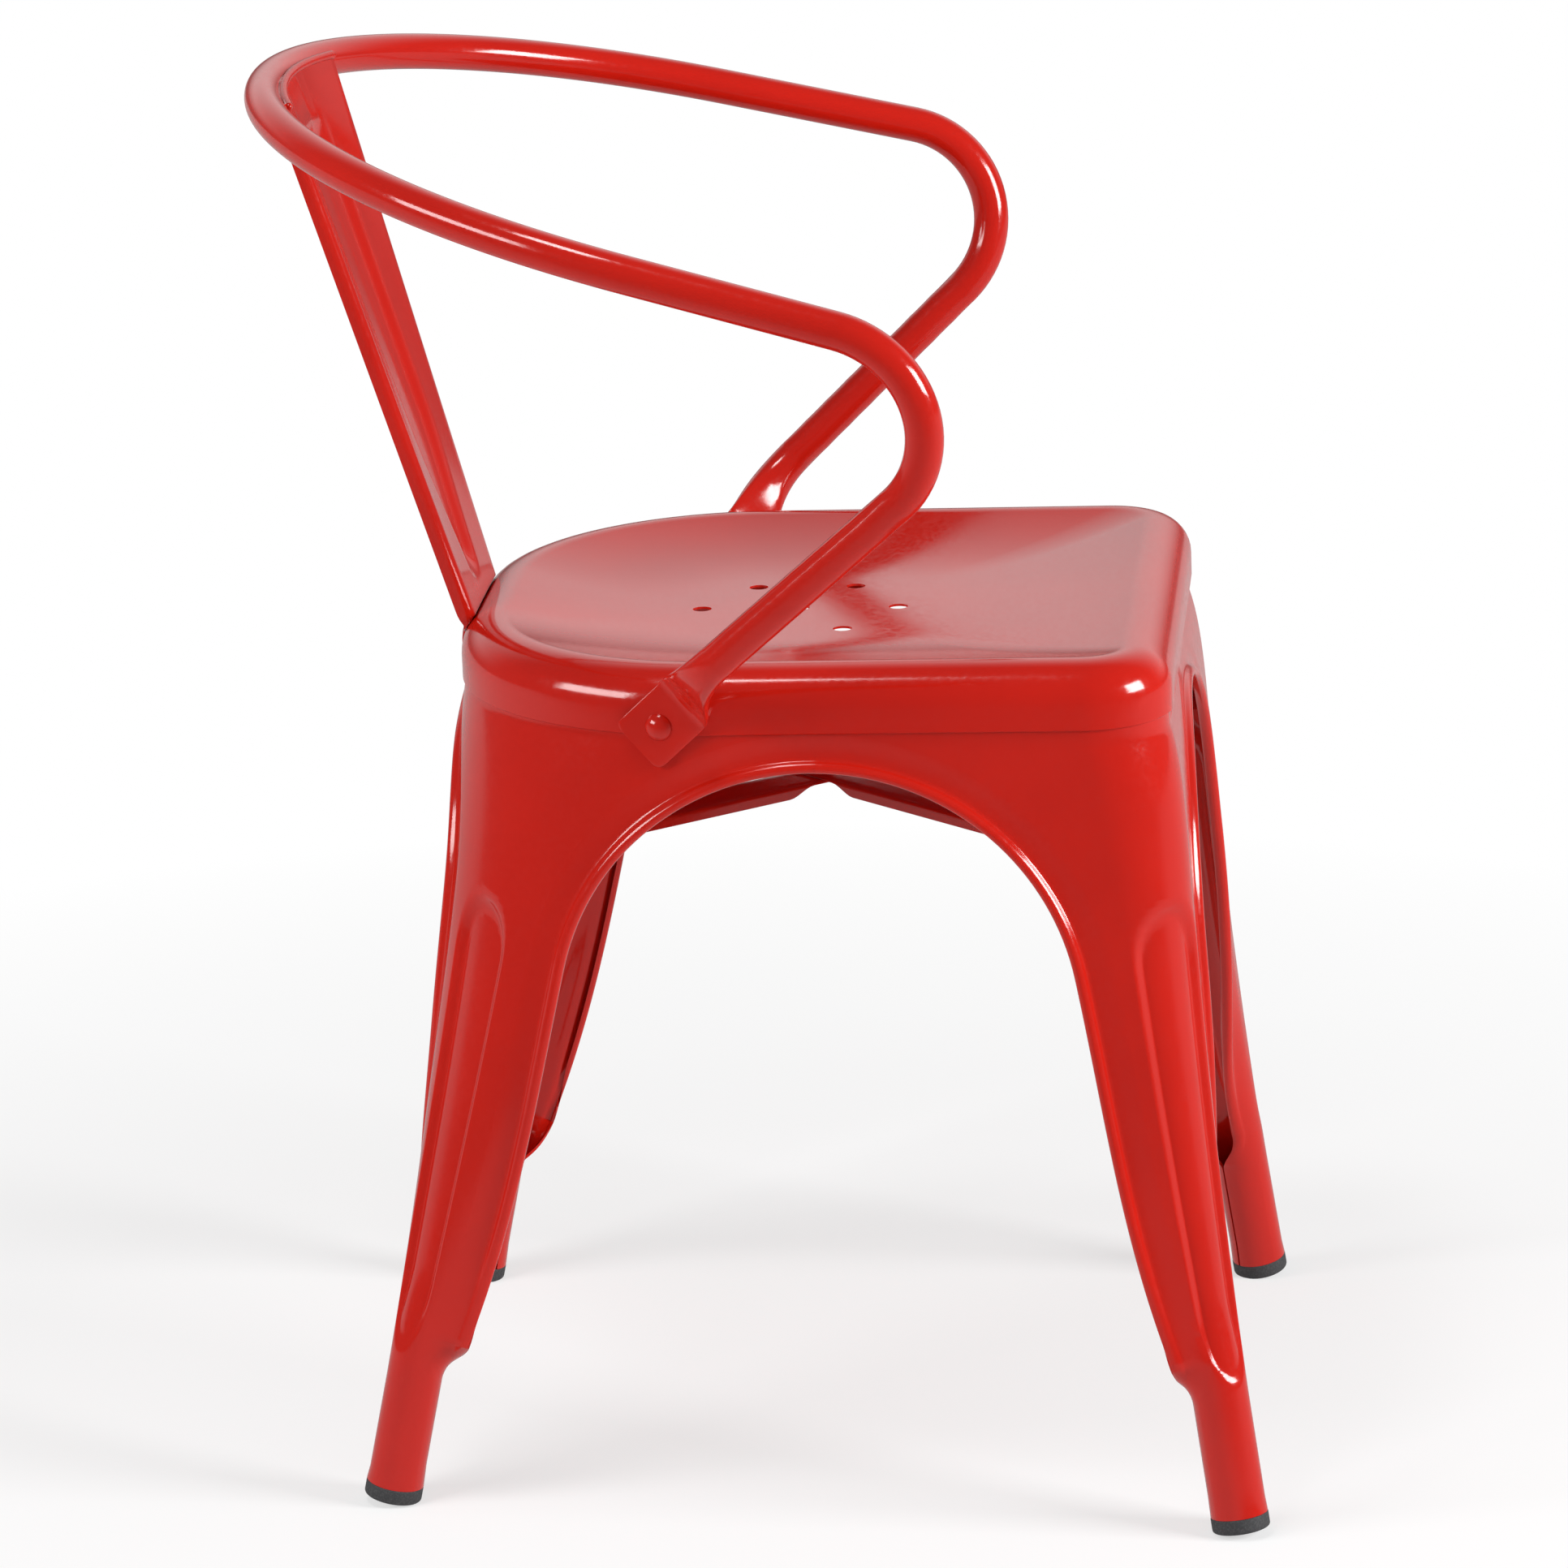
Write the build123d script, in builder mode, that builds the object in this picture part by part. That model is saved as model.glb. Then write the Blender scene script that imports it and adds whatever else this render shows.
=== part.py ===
from build123d import *
from dataclasses import dataclass
from math import asin, cos, exp, radians, sin, sqrt, tan
import os

os.makedirs("parts", exist_ok=True)

# Frame: +Z up, the chair faces -Y, +X is the sitter's left. The origin is on the floor, in the
# plane of symmetry, midway between the front of the front feet and the back of the rail.

# Sheet and tube
seat_sheet = 1.2
leg_sheet = 1.5
splat_sheet = 1.2
rail_diameter = 19.0
rail_wall = 1.5

# Seat pan
seat_half_width = 181.0
seat_front_y = -214.5
seat_rear_y = 157.5
seat_front_corner = 45.0
seat_rear_corner = 142.0
seat_centre_y = -15.0
seat_crest_height = 447.4
seat_tilt = 1.15
skirt_height = 32.4
roll_radius = 20.0
dish_depth = 13.0
dish_rim_width = 3.0
dish_slope_width = 82.0
dish_least_corner = 4.0
drain_hole_diameter = 10.0
drain_circle_radius = 51.5
drain_hole_count = 6

# Legs and apron
skirt_gap = 0.4
apron_overlap = 10.0
apron_depth = 20.0
flare_drop = 0.5
side_split_y = -37.5
front_foot_x = 198.0
front_foot_y = -251.5
rear_foot_x = 172.0
rear_foot_y = 189.5
front_flare_power = 1.55
rear_flare_power = 1.95
front_corner_power = 1.2
rear_corner_power = 1.35
front_apron_swell = 8.0
rear_apron_swell = 2.8
apron_swell_run = 24.0
foot_tube_radius = 14.6
foot_tube_top = 72.0
foot_seam_width = 3.0
arch_crown_radius = 132.5
arch_crown_lean = 12.0
arch_foot_lean = 23.0
front_arch_inset = 2.5
rear_arch_inset = 7.8
end_arch_inset = 6.0
arch_curve_pull = 0.36
arch_rim_width = 6.5
arch_rim_outward = 1.8
arch_rim_inward = 1.7
leg_slice_count = 8

# Foot caps
cap_radius = 14.9
cap_height = 8.0
cap_edge_round = 1.5
cap_floor_flat = 0.6
cap_plug_length = 14.0
cap_plug_clearance = 0.25

# Arm rail
rail_slope = 13.06
rail_centre_height = 653.8
rail_back_y = 255.2
rail_back_radius = 255.0
arm_convergence = 8.5
arm_corner_y = -155.0
arm_bend_radius = 53.0
arm_end_standoff = 34.0
arm_end_y = 22.0
arm_end_rise = 30.0
plate_width = 32.0
plate_length = 33.0
plate_corner = 4.0
plate_pitch = 43.8
plate_lap = 2.0
rivet_setback = 17.0
rivet_y = 40.0
rivet_rise = 5.0

# Rivets
rivet_head_radius = 7.0
rivet_head_height = 3.6
rivet_shank_radius = 3.0
rivet_clearance = 0.15
rivet_tail_gap = 0.3
rivet_tail_radius = 5.0
rivet_tail_height = 1.8

# Back splat
splat_base_rise = 2.5
splat_base_setback = 5.0
splat_base_half_width = 47.0
splat_top_half_width = 80.0
splat_base_bow = 0.6
splat_top_rise = 5.0
splat_flange = 9.0
splat_rail_gap = 0.8
splat_trim_gap = 0.2
splat_trough_half_width = 15.0
splat_trough_slope = 8.0
splat_trough_depth = 4.0
splat_trough_fade = 0.3
splat_trough_rise = 22.0
splat_trough_run = 16.0
splat_trough_end = 12.0
splat_tab_half_width = 32.0
splat_tab_clearance = 1.5
splat_tab_knee = 4.0
splat_tail_width = 4.0
splat_tail_drop = 7.0

# Weld beads
top_weld_radius = 2.2
top_weld_rise = 0.5
top_weld_end = 3.0
top_weld_bite = 0.75
tab_weld_radius = 1.6
tab_weld_length = 9.0
brace_weld_bite = 0.3
brace_weld_length = 12.0

# Cross brace
brace_drop = 69.5
brace_half_width = 13.0
brace_sheet = 1.5
brace_flange = 5.0
brace_flat_half_length = 18.0
brace_taper = 16.0
brace_end_gap = 0.5

# Values worked out from the sizes above
rail_radius = rail_diameter / 2
plate_sheet = 2 * rail_wall
apron_inset = seat_sheet + skirt_gap
apron_half_width = seat_half_width - apron_inset
tilt_slope = tan(radians(seat_tilt))
skirt_drift = skirt_height * sin(radians(seat_tilt))
skirt_foot_height = seat_crest_height - skirt_height
apron_top_height = skirt_foot_height + apron_overlap
arch_apex_height = skirt_foot_height - apron_depth
brace_height = skirt_foot_height - brace_drop
rear_crest_height = seat_crest_height - (seat_rear_y - seat_centre_y) * tilt_slope
rear_skirt_height = rear_crest_height - skirt_height
flare_height = rear_skirt_height - flare_drop
rivet_height = skirt_foot_height - (rivet_y - seat_centre_y) * tilt_slope + rivet_rise
seat_plane = Plane(
    origin=(0, seat_centre_y, seat_crest_height),
    x_dir=(1, 0, 0),
    z_dir=(0, sin(radians(seat_tilt)), cos(radians(seat_tilt))),
)


def finish(builder, name):
    """Name a finished piece and write it."""
    builder.part.label = name
    export_step(builder.part, f"parts/{name}.step")


# Rivet holes through the arm plates, the skirt and the apron, one on each side. Each stands
# square to the skirt, which is already turning into the rear corner there.

rear_corner_x = seat_half_width - seat_rear_corner
rear_corner_y = seat_rear_y - seat_rear_corner
rivet_turn = asin(max(rivet_y - rear_corner_y, 0) / seat_rear_corner)
rivet_outward = Vector(cos(rivet_turn), sin(rivet_turn), 0)
rivet_sideways = Vector(-sin(rivet_turn), cos(rivet_turn), 0)
rivet_point = Vector(rear_corner_x + seat_rear_corner * cos(rivet_turn), rivet_y, rivet_height)

with BuildPart() as rivet_bores:
    with BuildSketch(Plane(origin=rivet_point, x_dir=rivet_sideways, z_dir=rivet_outward)):
        Circle(rivet_shank_radius + rivet_clearance)
    extrude(amount=roll_radius, both=True)
    mirror(about=Plane.YZ)


# Seat pan: a dished sheet with a rolled edge and a skirt

def seat_outline(plane, inset):
    """The seat's plan, drawn in by an inset."""
    side = seat_half_width - inset
    front_y = seat_front_y - seat_centre_y + inset
    rear_y = seat_rear_y - seat_centre_y - inset
    front_corner = max(seat_front_corner - inset, dish_least_corner)
    rear_corner = max(seat_rear_corner - inset, dish_least_corner)
    with BuildSketch(plane) as outline:
        with BuildLine():
            Line((-side + front_corner, front_y), (side - front_corner, front_y))
            CenterArc((side - front_corner, front_y + front_corner), front_corner, 270, 90)
            Line((side, front_y + front_corner), (side, rear_y - rear_corner))
            CenterArc((side - rear_corner, rear_y - rear_corner), rear_corner, 0, 90)
            Line((side - rear_corner, rear_y), (-side + rear_corner, rear_y))
            CenterArc((-side + rear_corner, rear_y - rear_corner), rear_corner, 90, 90)
            Line((-side, rear_y - rear_corner), (-side, front_y + front_corner))
            CenterArc((-side + front_corner, front_y + front_corner), front_corner, 180, 90)
        make_face()
    return outline.sketch


def bowl_slices(drop):
    """Level slices of the bowl that the dished sheet encloses, lowered by a drop."""
    rim_inset = roll_radius + dish_rim_width
    slices = [seat_outline(seat_plane.offset(dish_rim_width - drop), rim_inset - 2 * dish_rim_width)]
    for share in (0.0, 0.3, 0.65, 1.0):
        depth = dish_depth * (1 - (1 - share) ** 2)
        slices.append(seat_outline(seat_plane.offset(-depth - drop), rim_inset + share * dish_slope_width))
    return slices


with BuildPart() as bowl:
    loft(sections=bowl_slices(0))

with BuildPart() as bowl_underside:
    loft(sections=bowl_slices(seat_sheet))

with BuildPart() as pan_inside:
    pan_floor = seat_outline(seat_plane.offset(-2 * skirt_height), seat_sheet)
    extrude(pan_floor, amount=2 * skirt_height - seat_sheet)
    fillet(pan_inside.faces().sort_by(Axis.Z)[-1].edges(), radius=roll_radius - seat_sheet)
    add(bowl_underside.part, mode=Mode.SUBTRACT)

with BuildPart() as seat_pan:
    extrude(seat_outline(seat_plane.offset(-skirt_height), 0), amount=skirt_height)
    fillet(seat_pan.faces().sort_by(Axis.Z)[-1].edges(), radius=roll_radius)
    add(bowl.part, mode=Mode.SUBTRACT)
    add(pan_inside.part, mode=Mode.SUBTRACT)
    with BuildSketch(seat_plane.offset(-2 * dish_depth)):
        Circle(drain_hole_diameter / 2)
        with PolarLocations(drain_circle_radius, drain_hole_count, start_angle=90):
            Circle(drain_hole_diameter / 2)
    extrude(amount=2 * dish_depth, mode=Mode.SUBTRACT)
    add(rivet_bores.part, mode=Mode.SUBTRACT)
finish(seat_pan, "seat_pan")


# Legs: pressed sheet, L-shaped in plan, that ends in a rolled tube. Each meets its neighbours
# in the middle of the seat's sides.

@dataclass
class Leg:
    """A corner of the base on the sitter's left: where its walls stand at each height."""

    facing: int
    apron_y: float
    apron_corner: float
    foot_x: float
    foot_y: float
    flare_power: float
    corner_power: float
    apron_swell: float
    arch_inset: float

    def flare(self, height):
        """How far the leg has spread, from 0 at the apron to 1 at the floor."""
        return (max(flare_height - height, 0) / flare_height) ** self.flare_power

    def side(self, height):
        """Distance of the outer side wall from the middle of the chair."""
        spread = self.foot_x + foot_tube_radius - apron_half_width
        return apron_half_width + spread * self.flare(height)

    def swell(self, height):
        """How far the wall has come out from under the skirt, from 0 at its foot to almost 1."""
        return 1 - exp(-max(flare_height - height, 0) / apron_swell_run)

    def end(self, height):
        """The outer front or rear wall."""
        swell = self.facing * self.apron_swell
        spread = self.foot_y + self.facing * foot_tube_radius - self.apron_y - swell
        return self.apron_y + swell * self.swell(height) + spread * self.flare(height)

    def corner(self, height):
        """Outer radius of the corner between the two walls."""
        rise = (height - foot_tube_top) / (flare_height - foot_tube_top)
        growth = min(max(rise, 0), 1) ** self.corner_power
        return foot_tube_radius + (self.apron_corner - foot_tube_radius) * growth

    def centre(self, height):
        """Centre of that corner, which is the middle of the tube lower down."""
        radius = self.corner(height)
        return (self.side(height) - radius, self.end(height) - self.facing * radius)

    def foot_point(self, height):
        """A point on the axis of the straight foot tube."""
        top = Vector(*self.centre(foot_tube_top), foot_tube_top)
        bottom = Vector(*self.centre(0), 0)
        return bottom + (top - bottom) * (height / foot_tube_top)

    def foot_axis(self):
        """Direction up the foot tube."""
        return (self.foot_point(foot_tube_top) - self.foot_point(0)).normalized()

    def foot_lean(self):
        """Angle of the foot tube from upright, in radians."""
        return radians(self.foot_axis().get_angle(Vector(0, 0, 1)))

    def foot_plane(self, height):
        """A plane square to the foot tube, facing up it."""
        return Plane(origin=self.foot_point(height), x_dir=(1, 0, 0), z_dir=self.foot_axis())

    def cap_foot_height(self):
        """Height of the middle of the cap's underside, whose low edge is worn flat on the floor."""
        lean = self.foot_lean()
        low_edge = (cap_radius - cap_edge_round) * sin(lean) + cap_edge_round * (1 - cos(lean))
        return low_edge - cap_floor_flat

    def cap_seat_height(self):
        """Height on the tube's axis where the tube ends on its cap."""
        return self.cap_foot_height() + cap_height * cos(self.foot_lean())


front = Leg(
    facing=-1,
    apron_y=seat_front_y - skirt_drift + apron_inset,
    apron_corner=seat_front_corner - apron_inset,
    foot_x=front_foot_x,
    foot_y=front_foot_y,
    flare_power=front_flare_power,
    corner_power=front_corner_power,
    apron_swell=front_apron_swell,
    arch_inset=front_arch_inset,
)
rear = Leg(
    facing=1,
    apron_y=seat_rear_y - skirt_drift - apron_inset,
    apron_corner=seat_rear_corner - apron_inset,
    foot_x=rear_foot_x,
    foot_y=rear_foot_y,
    flare_power=rear_flare_power,
    corner_power=rear_corner_power,
    apron_swell=rear_apron_swell,
    arch_inset=rear_arch_inset,
)


def leg_slice(leg, height, outward, inward):
    """An L-shaped slice of the sheet, grown outward and inward from the leg's outer face."""
    radius = leg.corner(height)
    middle_x, middle_y = leg.centre(height)

    def wall(growth):
        reach = radius + growth
        slant = reach * sqrt(0.5)
        return (
            (middle_x + reach, side_split_y),
            (middle_x + reach, middle_y),
            (middle_x + slant, middle_y + leg.facing * slant),
            (middle_x, middle_y + leg.facing * reach),
            (0, middle_y + leg.facing * reach),
        )

    out_split, out_side, out_bend, out_end, out_middle = wall(outward)
    in_split, in_side, in_bend, in_end, in_middle = wall(-inward)
    with BuildSketch(Plane.XY.offset(height)) as outline:
        with BuildLine():
            Line(out_split, out_side)
            ThreePointArc(out_side, out_bend, out_end)
            Line(out_end, out_middle)
            Line(out_middle, in_middle)
            Line(in_middle, in_end)
            ThreePointArc(in_end, in_bend, in_side)
            Line(in_side, in_split)
            Line(in_split, out_split)
        make_face()
    return outline.sketch


def leg_shell(leg, outward, inward):
    """A leg's sheet: upright in the apron, then spreading down to the top of the foot tube."""
    slices = []
    for step in range(leg_slice_count):
        share = step / (leg_slice_count - 1)
        height = flare_height + share * (foot_tube_top - flare_height)
        slices.append(leg_slice(leg, height, outward, inward))
    loft(sections=slices)
    extrude(slices[0], amount=apron_top_height - flare_height)


def half_arch(plane, half_span, crown_radius, growth):
    """Half the arch between two legs, made wider by a growth. It starts just past the arch's middle."""
    crown_height = arch_apex_height - crown_radius
    crown_lean = radians(arch_crown_lean)
    foot_lean = radians(arch_foot_lean)
    bend_angle = (radians(90) + crown_lean) / 2
    radius = crown_radius + growth
    apex = Vector(0, crown_height + radius)
    bend = Vector(radius * cos(bend_angle), crown_height + radius * sin(bend_angle))
    shoulder = Vector(radius * cos(crown_lean), crown_height + radius * sin(crown_lean))
    foot = Vector(half_span + growth * cos(foot_lean), foot_tube_top + growth * sin(foot_lean))
    pull = arch_curve_pull * (foot - shoulder).length
    shoulder_pull = shoulder + Vector(sin(crown_lean), -cos(crown_lean)) * pull
    foot_pull = foot - Vector(sin(foot_lean), -cos(foot_lean)) * pull
    past = -arch_rim_width
    with BuildSketch(plane) as outline:
        with BuildLine():
            Line((past, past), (past, apex.Y))
            Line((past, apex.Y), apex)
            ThreePointArc(apex, bend, shoulder)
            Bezier(shoulder, shoulder_pull, foot_pull, foot)
            Line(foot, (foot.X, past))
            Line((foot.X, past), (past, past))
        make_face()
    return outline.sketch


def leg_arches(leg, growth):
    """The side arch and the front or rear arch beside a leg, as prisms out from the chair's middle."""
    middle_x, middle_y = leg.centre(foot_tube_top)
    side_span = (middle_y - side_split_y) * leg.facing - foot_tube_radius - leg.arch_inset
    end_span = middle_x - foot_tube_radius - end_arch_inset
    end_crown = arch_crown_radius * end_span / side_span
    side_plane = Plane(origin=(0, side_split_y, 0), x_dir=(0, leg.facing, 0), z_dir=(leg.facing, 0, 0))
    end_plane = Plane(origin=(0, 0, 0), x_dir=(1, 0, 0), z_dir=(0, -1, 0))
    side_reach = leg.side(0) + foot_tube_radius
    end_reach = abs(leg.end(0)) + foot_tube_radius
    extrude(half_arch(side_plane, side_span, arch_crown_radius, growth), amount=leg.facing * side_reach)
    extrude(half_arch(end_plane, end_span, end_crown, growth), amount=-leg.facing * end_reach)


def tube_slice(leg, height):
    """A level slice of the foot tube."""
    with BuildSketch(Plane.XY.offset(height)) as ring:
        with Locations(leg.centre(height)):
            Circle(foot_tube_radius)
            Circle(foot_tube_radius - leg_sheet, mode=Mode.SUBTRACT)
    return ring.sketch


def seam_slot(leg):
    """The gap where the rolled edges of the foot tube face each other, on its inner side."""
    seam_side = Vector(-1, -leg.facing).normalized() * foot_tube_radius
    with BuildSketch(leg.foot_plane(0)) as slot:
        with Locations(seam_side):
            Rectangle(2 * foot_tube_radius, foot_seam_width, rotation=45 * leg.facing)
    return slot.sketch


with BuildPart() as front_arches:
    leg_arches(front, 0)

with BuildPart() as front_rims:
    leg_shell(front, arch_rim_outward, leg_sheet + arch_rim_inward)

with BuildPart() as front_bands:
    leg_arches(front, arch_rim_width)
    add(front_rims.part, mode=Mode.INTERSECT)

with BuildPart() as front_tube:
    loft(sections=[tube_slice(front, foot_tube_top), tube_slice(front, 0)])
    extrude(seam_slot(front), amount=foot_tube_top + 2 * foot_tube_radius, mode=Mode.SUBTRACT)
    split(bisect_by=front.foot_plane(front.cap_seat_height()), keep=Keep.TOP)

with BuildPart() as leg_front_left:
    leg_shell(front, 0, leg_sheet)
    add(front_bands.part)
    add(front_arches.part, mode=Mode.SUBTRACT)
    add(front_tube.part)
finish(leg_front_left, "leg_front_left")

with BuildPart() as leg_front_right:
    mirror(leg_front_left.part, about=Plane.YZ)
finish(leg_front_right, "leg_front_right")

with BuildPart() as rear_arches:
    leg_arches(rear, 0)

with BuildPart() as rear_rims:
    leg_shell(rear, arch_rim_outward, leg_sheet + arch_rim_inward)

with BuildPart() as rear_bands:
    leg_arches(rear, arch_rim_width)
    add(rear_rims.part, mode=Mode.INTERSECT)

with BuildPart() as rear_tube:
    loft(sections=[tube_slice(rear, foot_tube_top), tube_slice(rear, 0)])
    extrude(seam_slot(rear), amount=foot_tube_top + 2 * foot_tube_radius, mode=Mode.SUBTRACT)
    split(bisect_by=rear.foot_plane(rear.cap_seat_height()), keep=Keep.TOP)

with BuildPart() as leg_rear_left:
    leg_shell(rear, 0, leg_sheet)
    add(rear_bands.part)
    add(rear_arches.part, mode=Mode.SUBTRACT)
    add(rear_tube.part)
    add(rivet_bores.part, mode=Mode.SUBTRACT)
finish(leg_rear_left, "leg_rear_left")

with BuildPart() as leg_rear_right:
    mirror(leg_rear_left.part, about=Plane.YZ)
finish(leg_rear_right, "leg_rear_right")


# Foot caps: rubber, with a plug inside the tube

def cap_disc(leg, height, radius):
    """A disc square to the foot tube, centred on it at a height."""
    with BuildSketch(leg.foot_plane(height)) as disc:
        Circle(radius)
    return disc.sketch


for name, leg in (("front", front), ("rear", rear)):
    with BuildPart() as foot_cap_left:
        extrude(cap_disc(leg, leg.cap_foot_height(), cap_radius), amount=cap_height)
        fillet(foot_cap_left.faces().sort_by(Axis.Z)[0].edges(), radius=cap_edge_round)
        plug_radius = (foot_tube_radius - leg_sheet) * cos(leg.foot_lean()) - cap_plug_clearance
        extrude(cap_disc(leg, leg.cap_seat_height(), plug_radius), amount=cap_plug_length)
        split(bisect_by=Plane.XY, keep=Keep.TOP)
    finish(foot_cap_left, f"foot_cap_{name}_left")
    with BuildPart() as foot_cap_right:
        mirror(foot_cap_left.part, about=Plane.YZ)
    finish(foot_cap_right, f"foot_cap_{name}_right")


# Arm rail: one tube round the back, bent down at the front of each arm and crushed flat at its ends

def on_rail_plane(across, along):
    """A point of the sloping plane that holds the back and the arms."""
    slope = radians(rail_slope)
    return Vector(across, along * cos(slope), rail_centre_height + along * sin(slope))


def bend_points(corner, before, after, radius):
    """Start, middle and end of the arc that rounds a corner between two straight runs."""
    to_before = (before - corner).normalized()
    to_after = (after - corner).normalized()
    half_angle = radians(to_before.get_angle(to_after)) / 2
    tangent = radius / tan(half_angle)
    bisector = (to_before + to_after).normalized()
    middle = corner + bisector * (radius / sin(half_angle) - radius)
    return corner + to_before * tangent, middle, corner + to_after * tangent


def mirrored(point):
    """The same point on the other side of the chair."""
    return Vector(-point.X, point.Y, point.Z)


back_along = rail_back_y / cos(radians(rail_slope))
arc_centre_along = back_along - rail_back_radius
arm_start = on_rail_plane(
    rail_back_radius * cos(radians(arm_convergence)),
    arc_centre_along + rail_back_radius * sin(radians(arm_convergence)),
)
back_middle = on_rail_plane(0, back_along)
corner_along = arm_corner_y / cos(radians(rail_slope))
arm_run = arc_centre_along + rail_back_radius * sin(radians(arm_convergence)) - corner_along
arm_corner = on_rail_plane(arm_start.X + arm_run * tan(radians(arm_convergence)), corner_along)
arm_end = Vector(seat_half_width + arm_end_standoff, arm_end_y, rivet_height + arm_end_rise)
bend_top, bend_middle, bend_foot = bend_points(arm_corner, arm_start, arm_end, arm_bend_radius)
arm_end_direction = (arm_end - arm_corner).normalized()

with BuildLine() as rail_path:
    Line(arm_end, bend_foot)
    ThreePointArc(bend_foot, bend_middle, bend_top)
    Line(bend_top, arm_start)
    ThreePointArc(arm_start, back_middle, mirrored(arm_start))
    Line(mirrored(arm_start), mirrored(bend_top))
    ThreePointArc(mirrored(bend_top), mirrored(bend_middle), mirrored(bend_foot))
    Line(mirrored(bend_foot), mirrored(arm_end))

pitch = radians(plate_pitch)
plate_along = rivet_sideways * cos(pitch) - Vector(0, 0, sin(pitch))
plate_across = rivet_sideways * sin(pitch) + Vector(0, 0, cos(pitch))
plate_plane = Plane(origin=rivet_point, x_dir=plate_along, z_dir=rivet_outward)
crush_start = Plane(origin=arm_end, x_dir=plate_across, z_dir=arm_end_direction)
crush_end = Plane(
    origin=rivet_point + rivet_outward * (plate_sheet / 2) - plate_along * (rivet_setback - plate_lap),
    x_dir=plate_across,
    z_dir=plate_along,
)

with BuildPart() as crushed_end:
    with BuildSketch(crush_start):
        Circle(rail_radius)
    with BuildSketch(crush_end):
        Ellipse(plate_width / 2, plate_sheet / 2)
    loft()
    with BuildSketch(plate_plane):
        with Locations((plate_length / 2 - rivet_setback, 0)):
            RectangleRounded(plate_length, plate_width, plate_corner)
    extrude(amount=plate_sheet)
    add(rivet_bores.part, mode=Mode.SUBTRACT)

with BuildPart() as arm_rail:
    with BuildSketch(crush_start):
        Circle(rail_radius)
        Circle(rail_radius - rail_wall, mode=Mode.SUBTRACT)
    sweep(path=rail_path.wires()[0])
    add(crushed_end.part)
    mirror(crushed_end.part, about=Plane.YZ)
finish(arm_rail, "arm_rail")


# Rivets: a domed head, a shank and a flattened tail

def rivet_profile(plane, grip):
    """Half of a rivet's section. The plane's x is across the rivet and its y points out of the head."""
    dome_radius = (rivet_head_radius**2 + rivet_head_height**2) / (2 * rivet_head_height)
    half_dome = asin(rivet_head_radius / dome_radius) / 2
    dome_middle = (
        dome_radius * sin(half_dome),
        rivet_head_height - dome_radius * (1 - cos(half_dome)),
    )
    with BuildSketch(plane) as profile:
        with BuildLine():
            Line((0, rivet_head_height), (0, -grip - rivet_tail_height))
            Line((0, -grip - rivet_tail_height), (rivet_tail_radius, -grip - rivet_tail_height))
            Line((rivet_tail_radius, -grip - rivet_tail_height), (rivet_tail_radius, -grip))
            Line((rivet_tail_radius, -grip), (rivet_shank_radius, -grip))
            Line((rivet_shank_radius, -grip), (rivet_shank_radius, 0))
            Line((rivet_shank_radius, 0), (rivet_head_radius, 0))
            ThreePointArc((rivet_head_radius, 0), dome_middle, (0, rivet_head_height))
        make_face()
    return profile.sketch


arm_rivet_origin = rivet_point + rivet_outward * plate_sheet
arm_rivet_plane = Plane(origin=arm_rivet_origin, x_dir=rivet_sideways, z_dir=(0, 0, -1))
arm_rivet_grip = plate_sheet + apron_inset + leg_sheet + rivet_tail_gap

with BuildPart() as arm_rivet_left:
    revolve(rivet_profile(arm_rivet_plane, arm_rivet_grip), axis=Axis(arm_rivet_origin, rivet_outward))
finish(arm_rivet_left, "arm_rivet_left")

with BuildPart() as arm_rivet_right:
    mirror(arm_rivet_left.part, about=Plane.YZ)
finish(arm_rivet_right, "arm_rivet_right")


# Back splat: a tapered strip with folded flanges, a pressed trough and a tab down the rear skirt

def rail_y(across):
    """Where the middle of the rail's back stands at a distance from the chair's middle."""
    along = arc_centre_along + sqrt(rail_back_radius**2 - across**2)
    return along * cos(radians(rail_slope))


def splat_slice(height, half_width, middle_y, edge_y, trough):
    """A level slice of the splat: a bowed sheet with two flanges and a trough in the middle."""
    bow = middle_y - edge_y

    def face_y(across):
        return middle_y - bow * (across / half_width) ** 2

    floor = splat_trough_half_width
    brink = floor + splat_trough_slope
    inner = half_width - splat_sheet
    half_way = (brink + inner) / 2
    flange_y = edge_y + splat_flange
    with BuildSketch(Plane.XY.offset(height)) as outline:
        with BuildLine():
            Line((0, middle_y + trough), (floor, middle_y + trough))
            Line((floor, middle_y + trough), (brink, face_y(brink)))
            ThreePointArc((brink, face_y(brink)), (half_way, face_y(half_way)), (half_width, edge_y))
            Line((half_width, edge_y), (half_width, flange_y))
            Line((half_width, flange_y), (inner, flange_y))
            Line((inner, flange_y), (inner, face_y(inner) + splat_sheet))
            ThreePointArc(
                (inner, face_y(inner) + splat_sheet),
                (half_way, face_y(half_way) + splat_sheet),
                (brink, face_y(brink) + splat_sheet),
            )
            Line((brink, face_y(brink) + splat_sheet), (floor, middle_y + trough + splat_sheet))
            Line((floor, middle_y + trough + splat_sheet), (0, middle_y + trough + splat_sheet))
            Line((0, middle_y + trough + splat_sheet), (0, middle_y + trough))
        make_face()
    return outline.sketch


splat_base_height = rear_crest_height + splat_base_rise
splat_base_y = seat_rear_y - splat_base_setback
splat_top_height = back_middle.Z
splat_rail_offset = rail_radius + splat_rail_gap + splat_sheet
splat_top_y = rail_back_y - splat_rail_offset
splat_lean = (splat_top_y - splat_base_y) / (splat_top_height - splat_base_height)
rail_edge_drop = (rail_back_y - rail_y(splat_top_half_width)) * tan(radians(rail_slope))
splat_top_edge_y = rail_y(splat_top_half_width) - splat_rail_offset + rail_edge_drop * splat_lean


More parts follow.
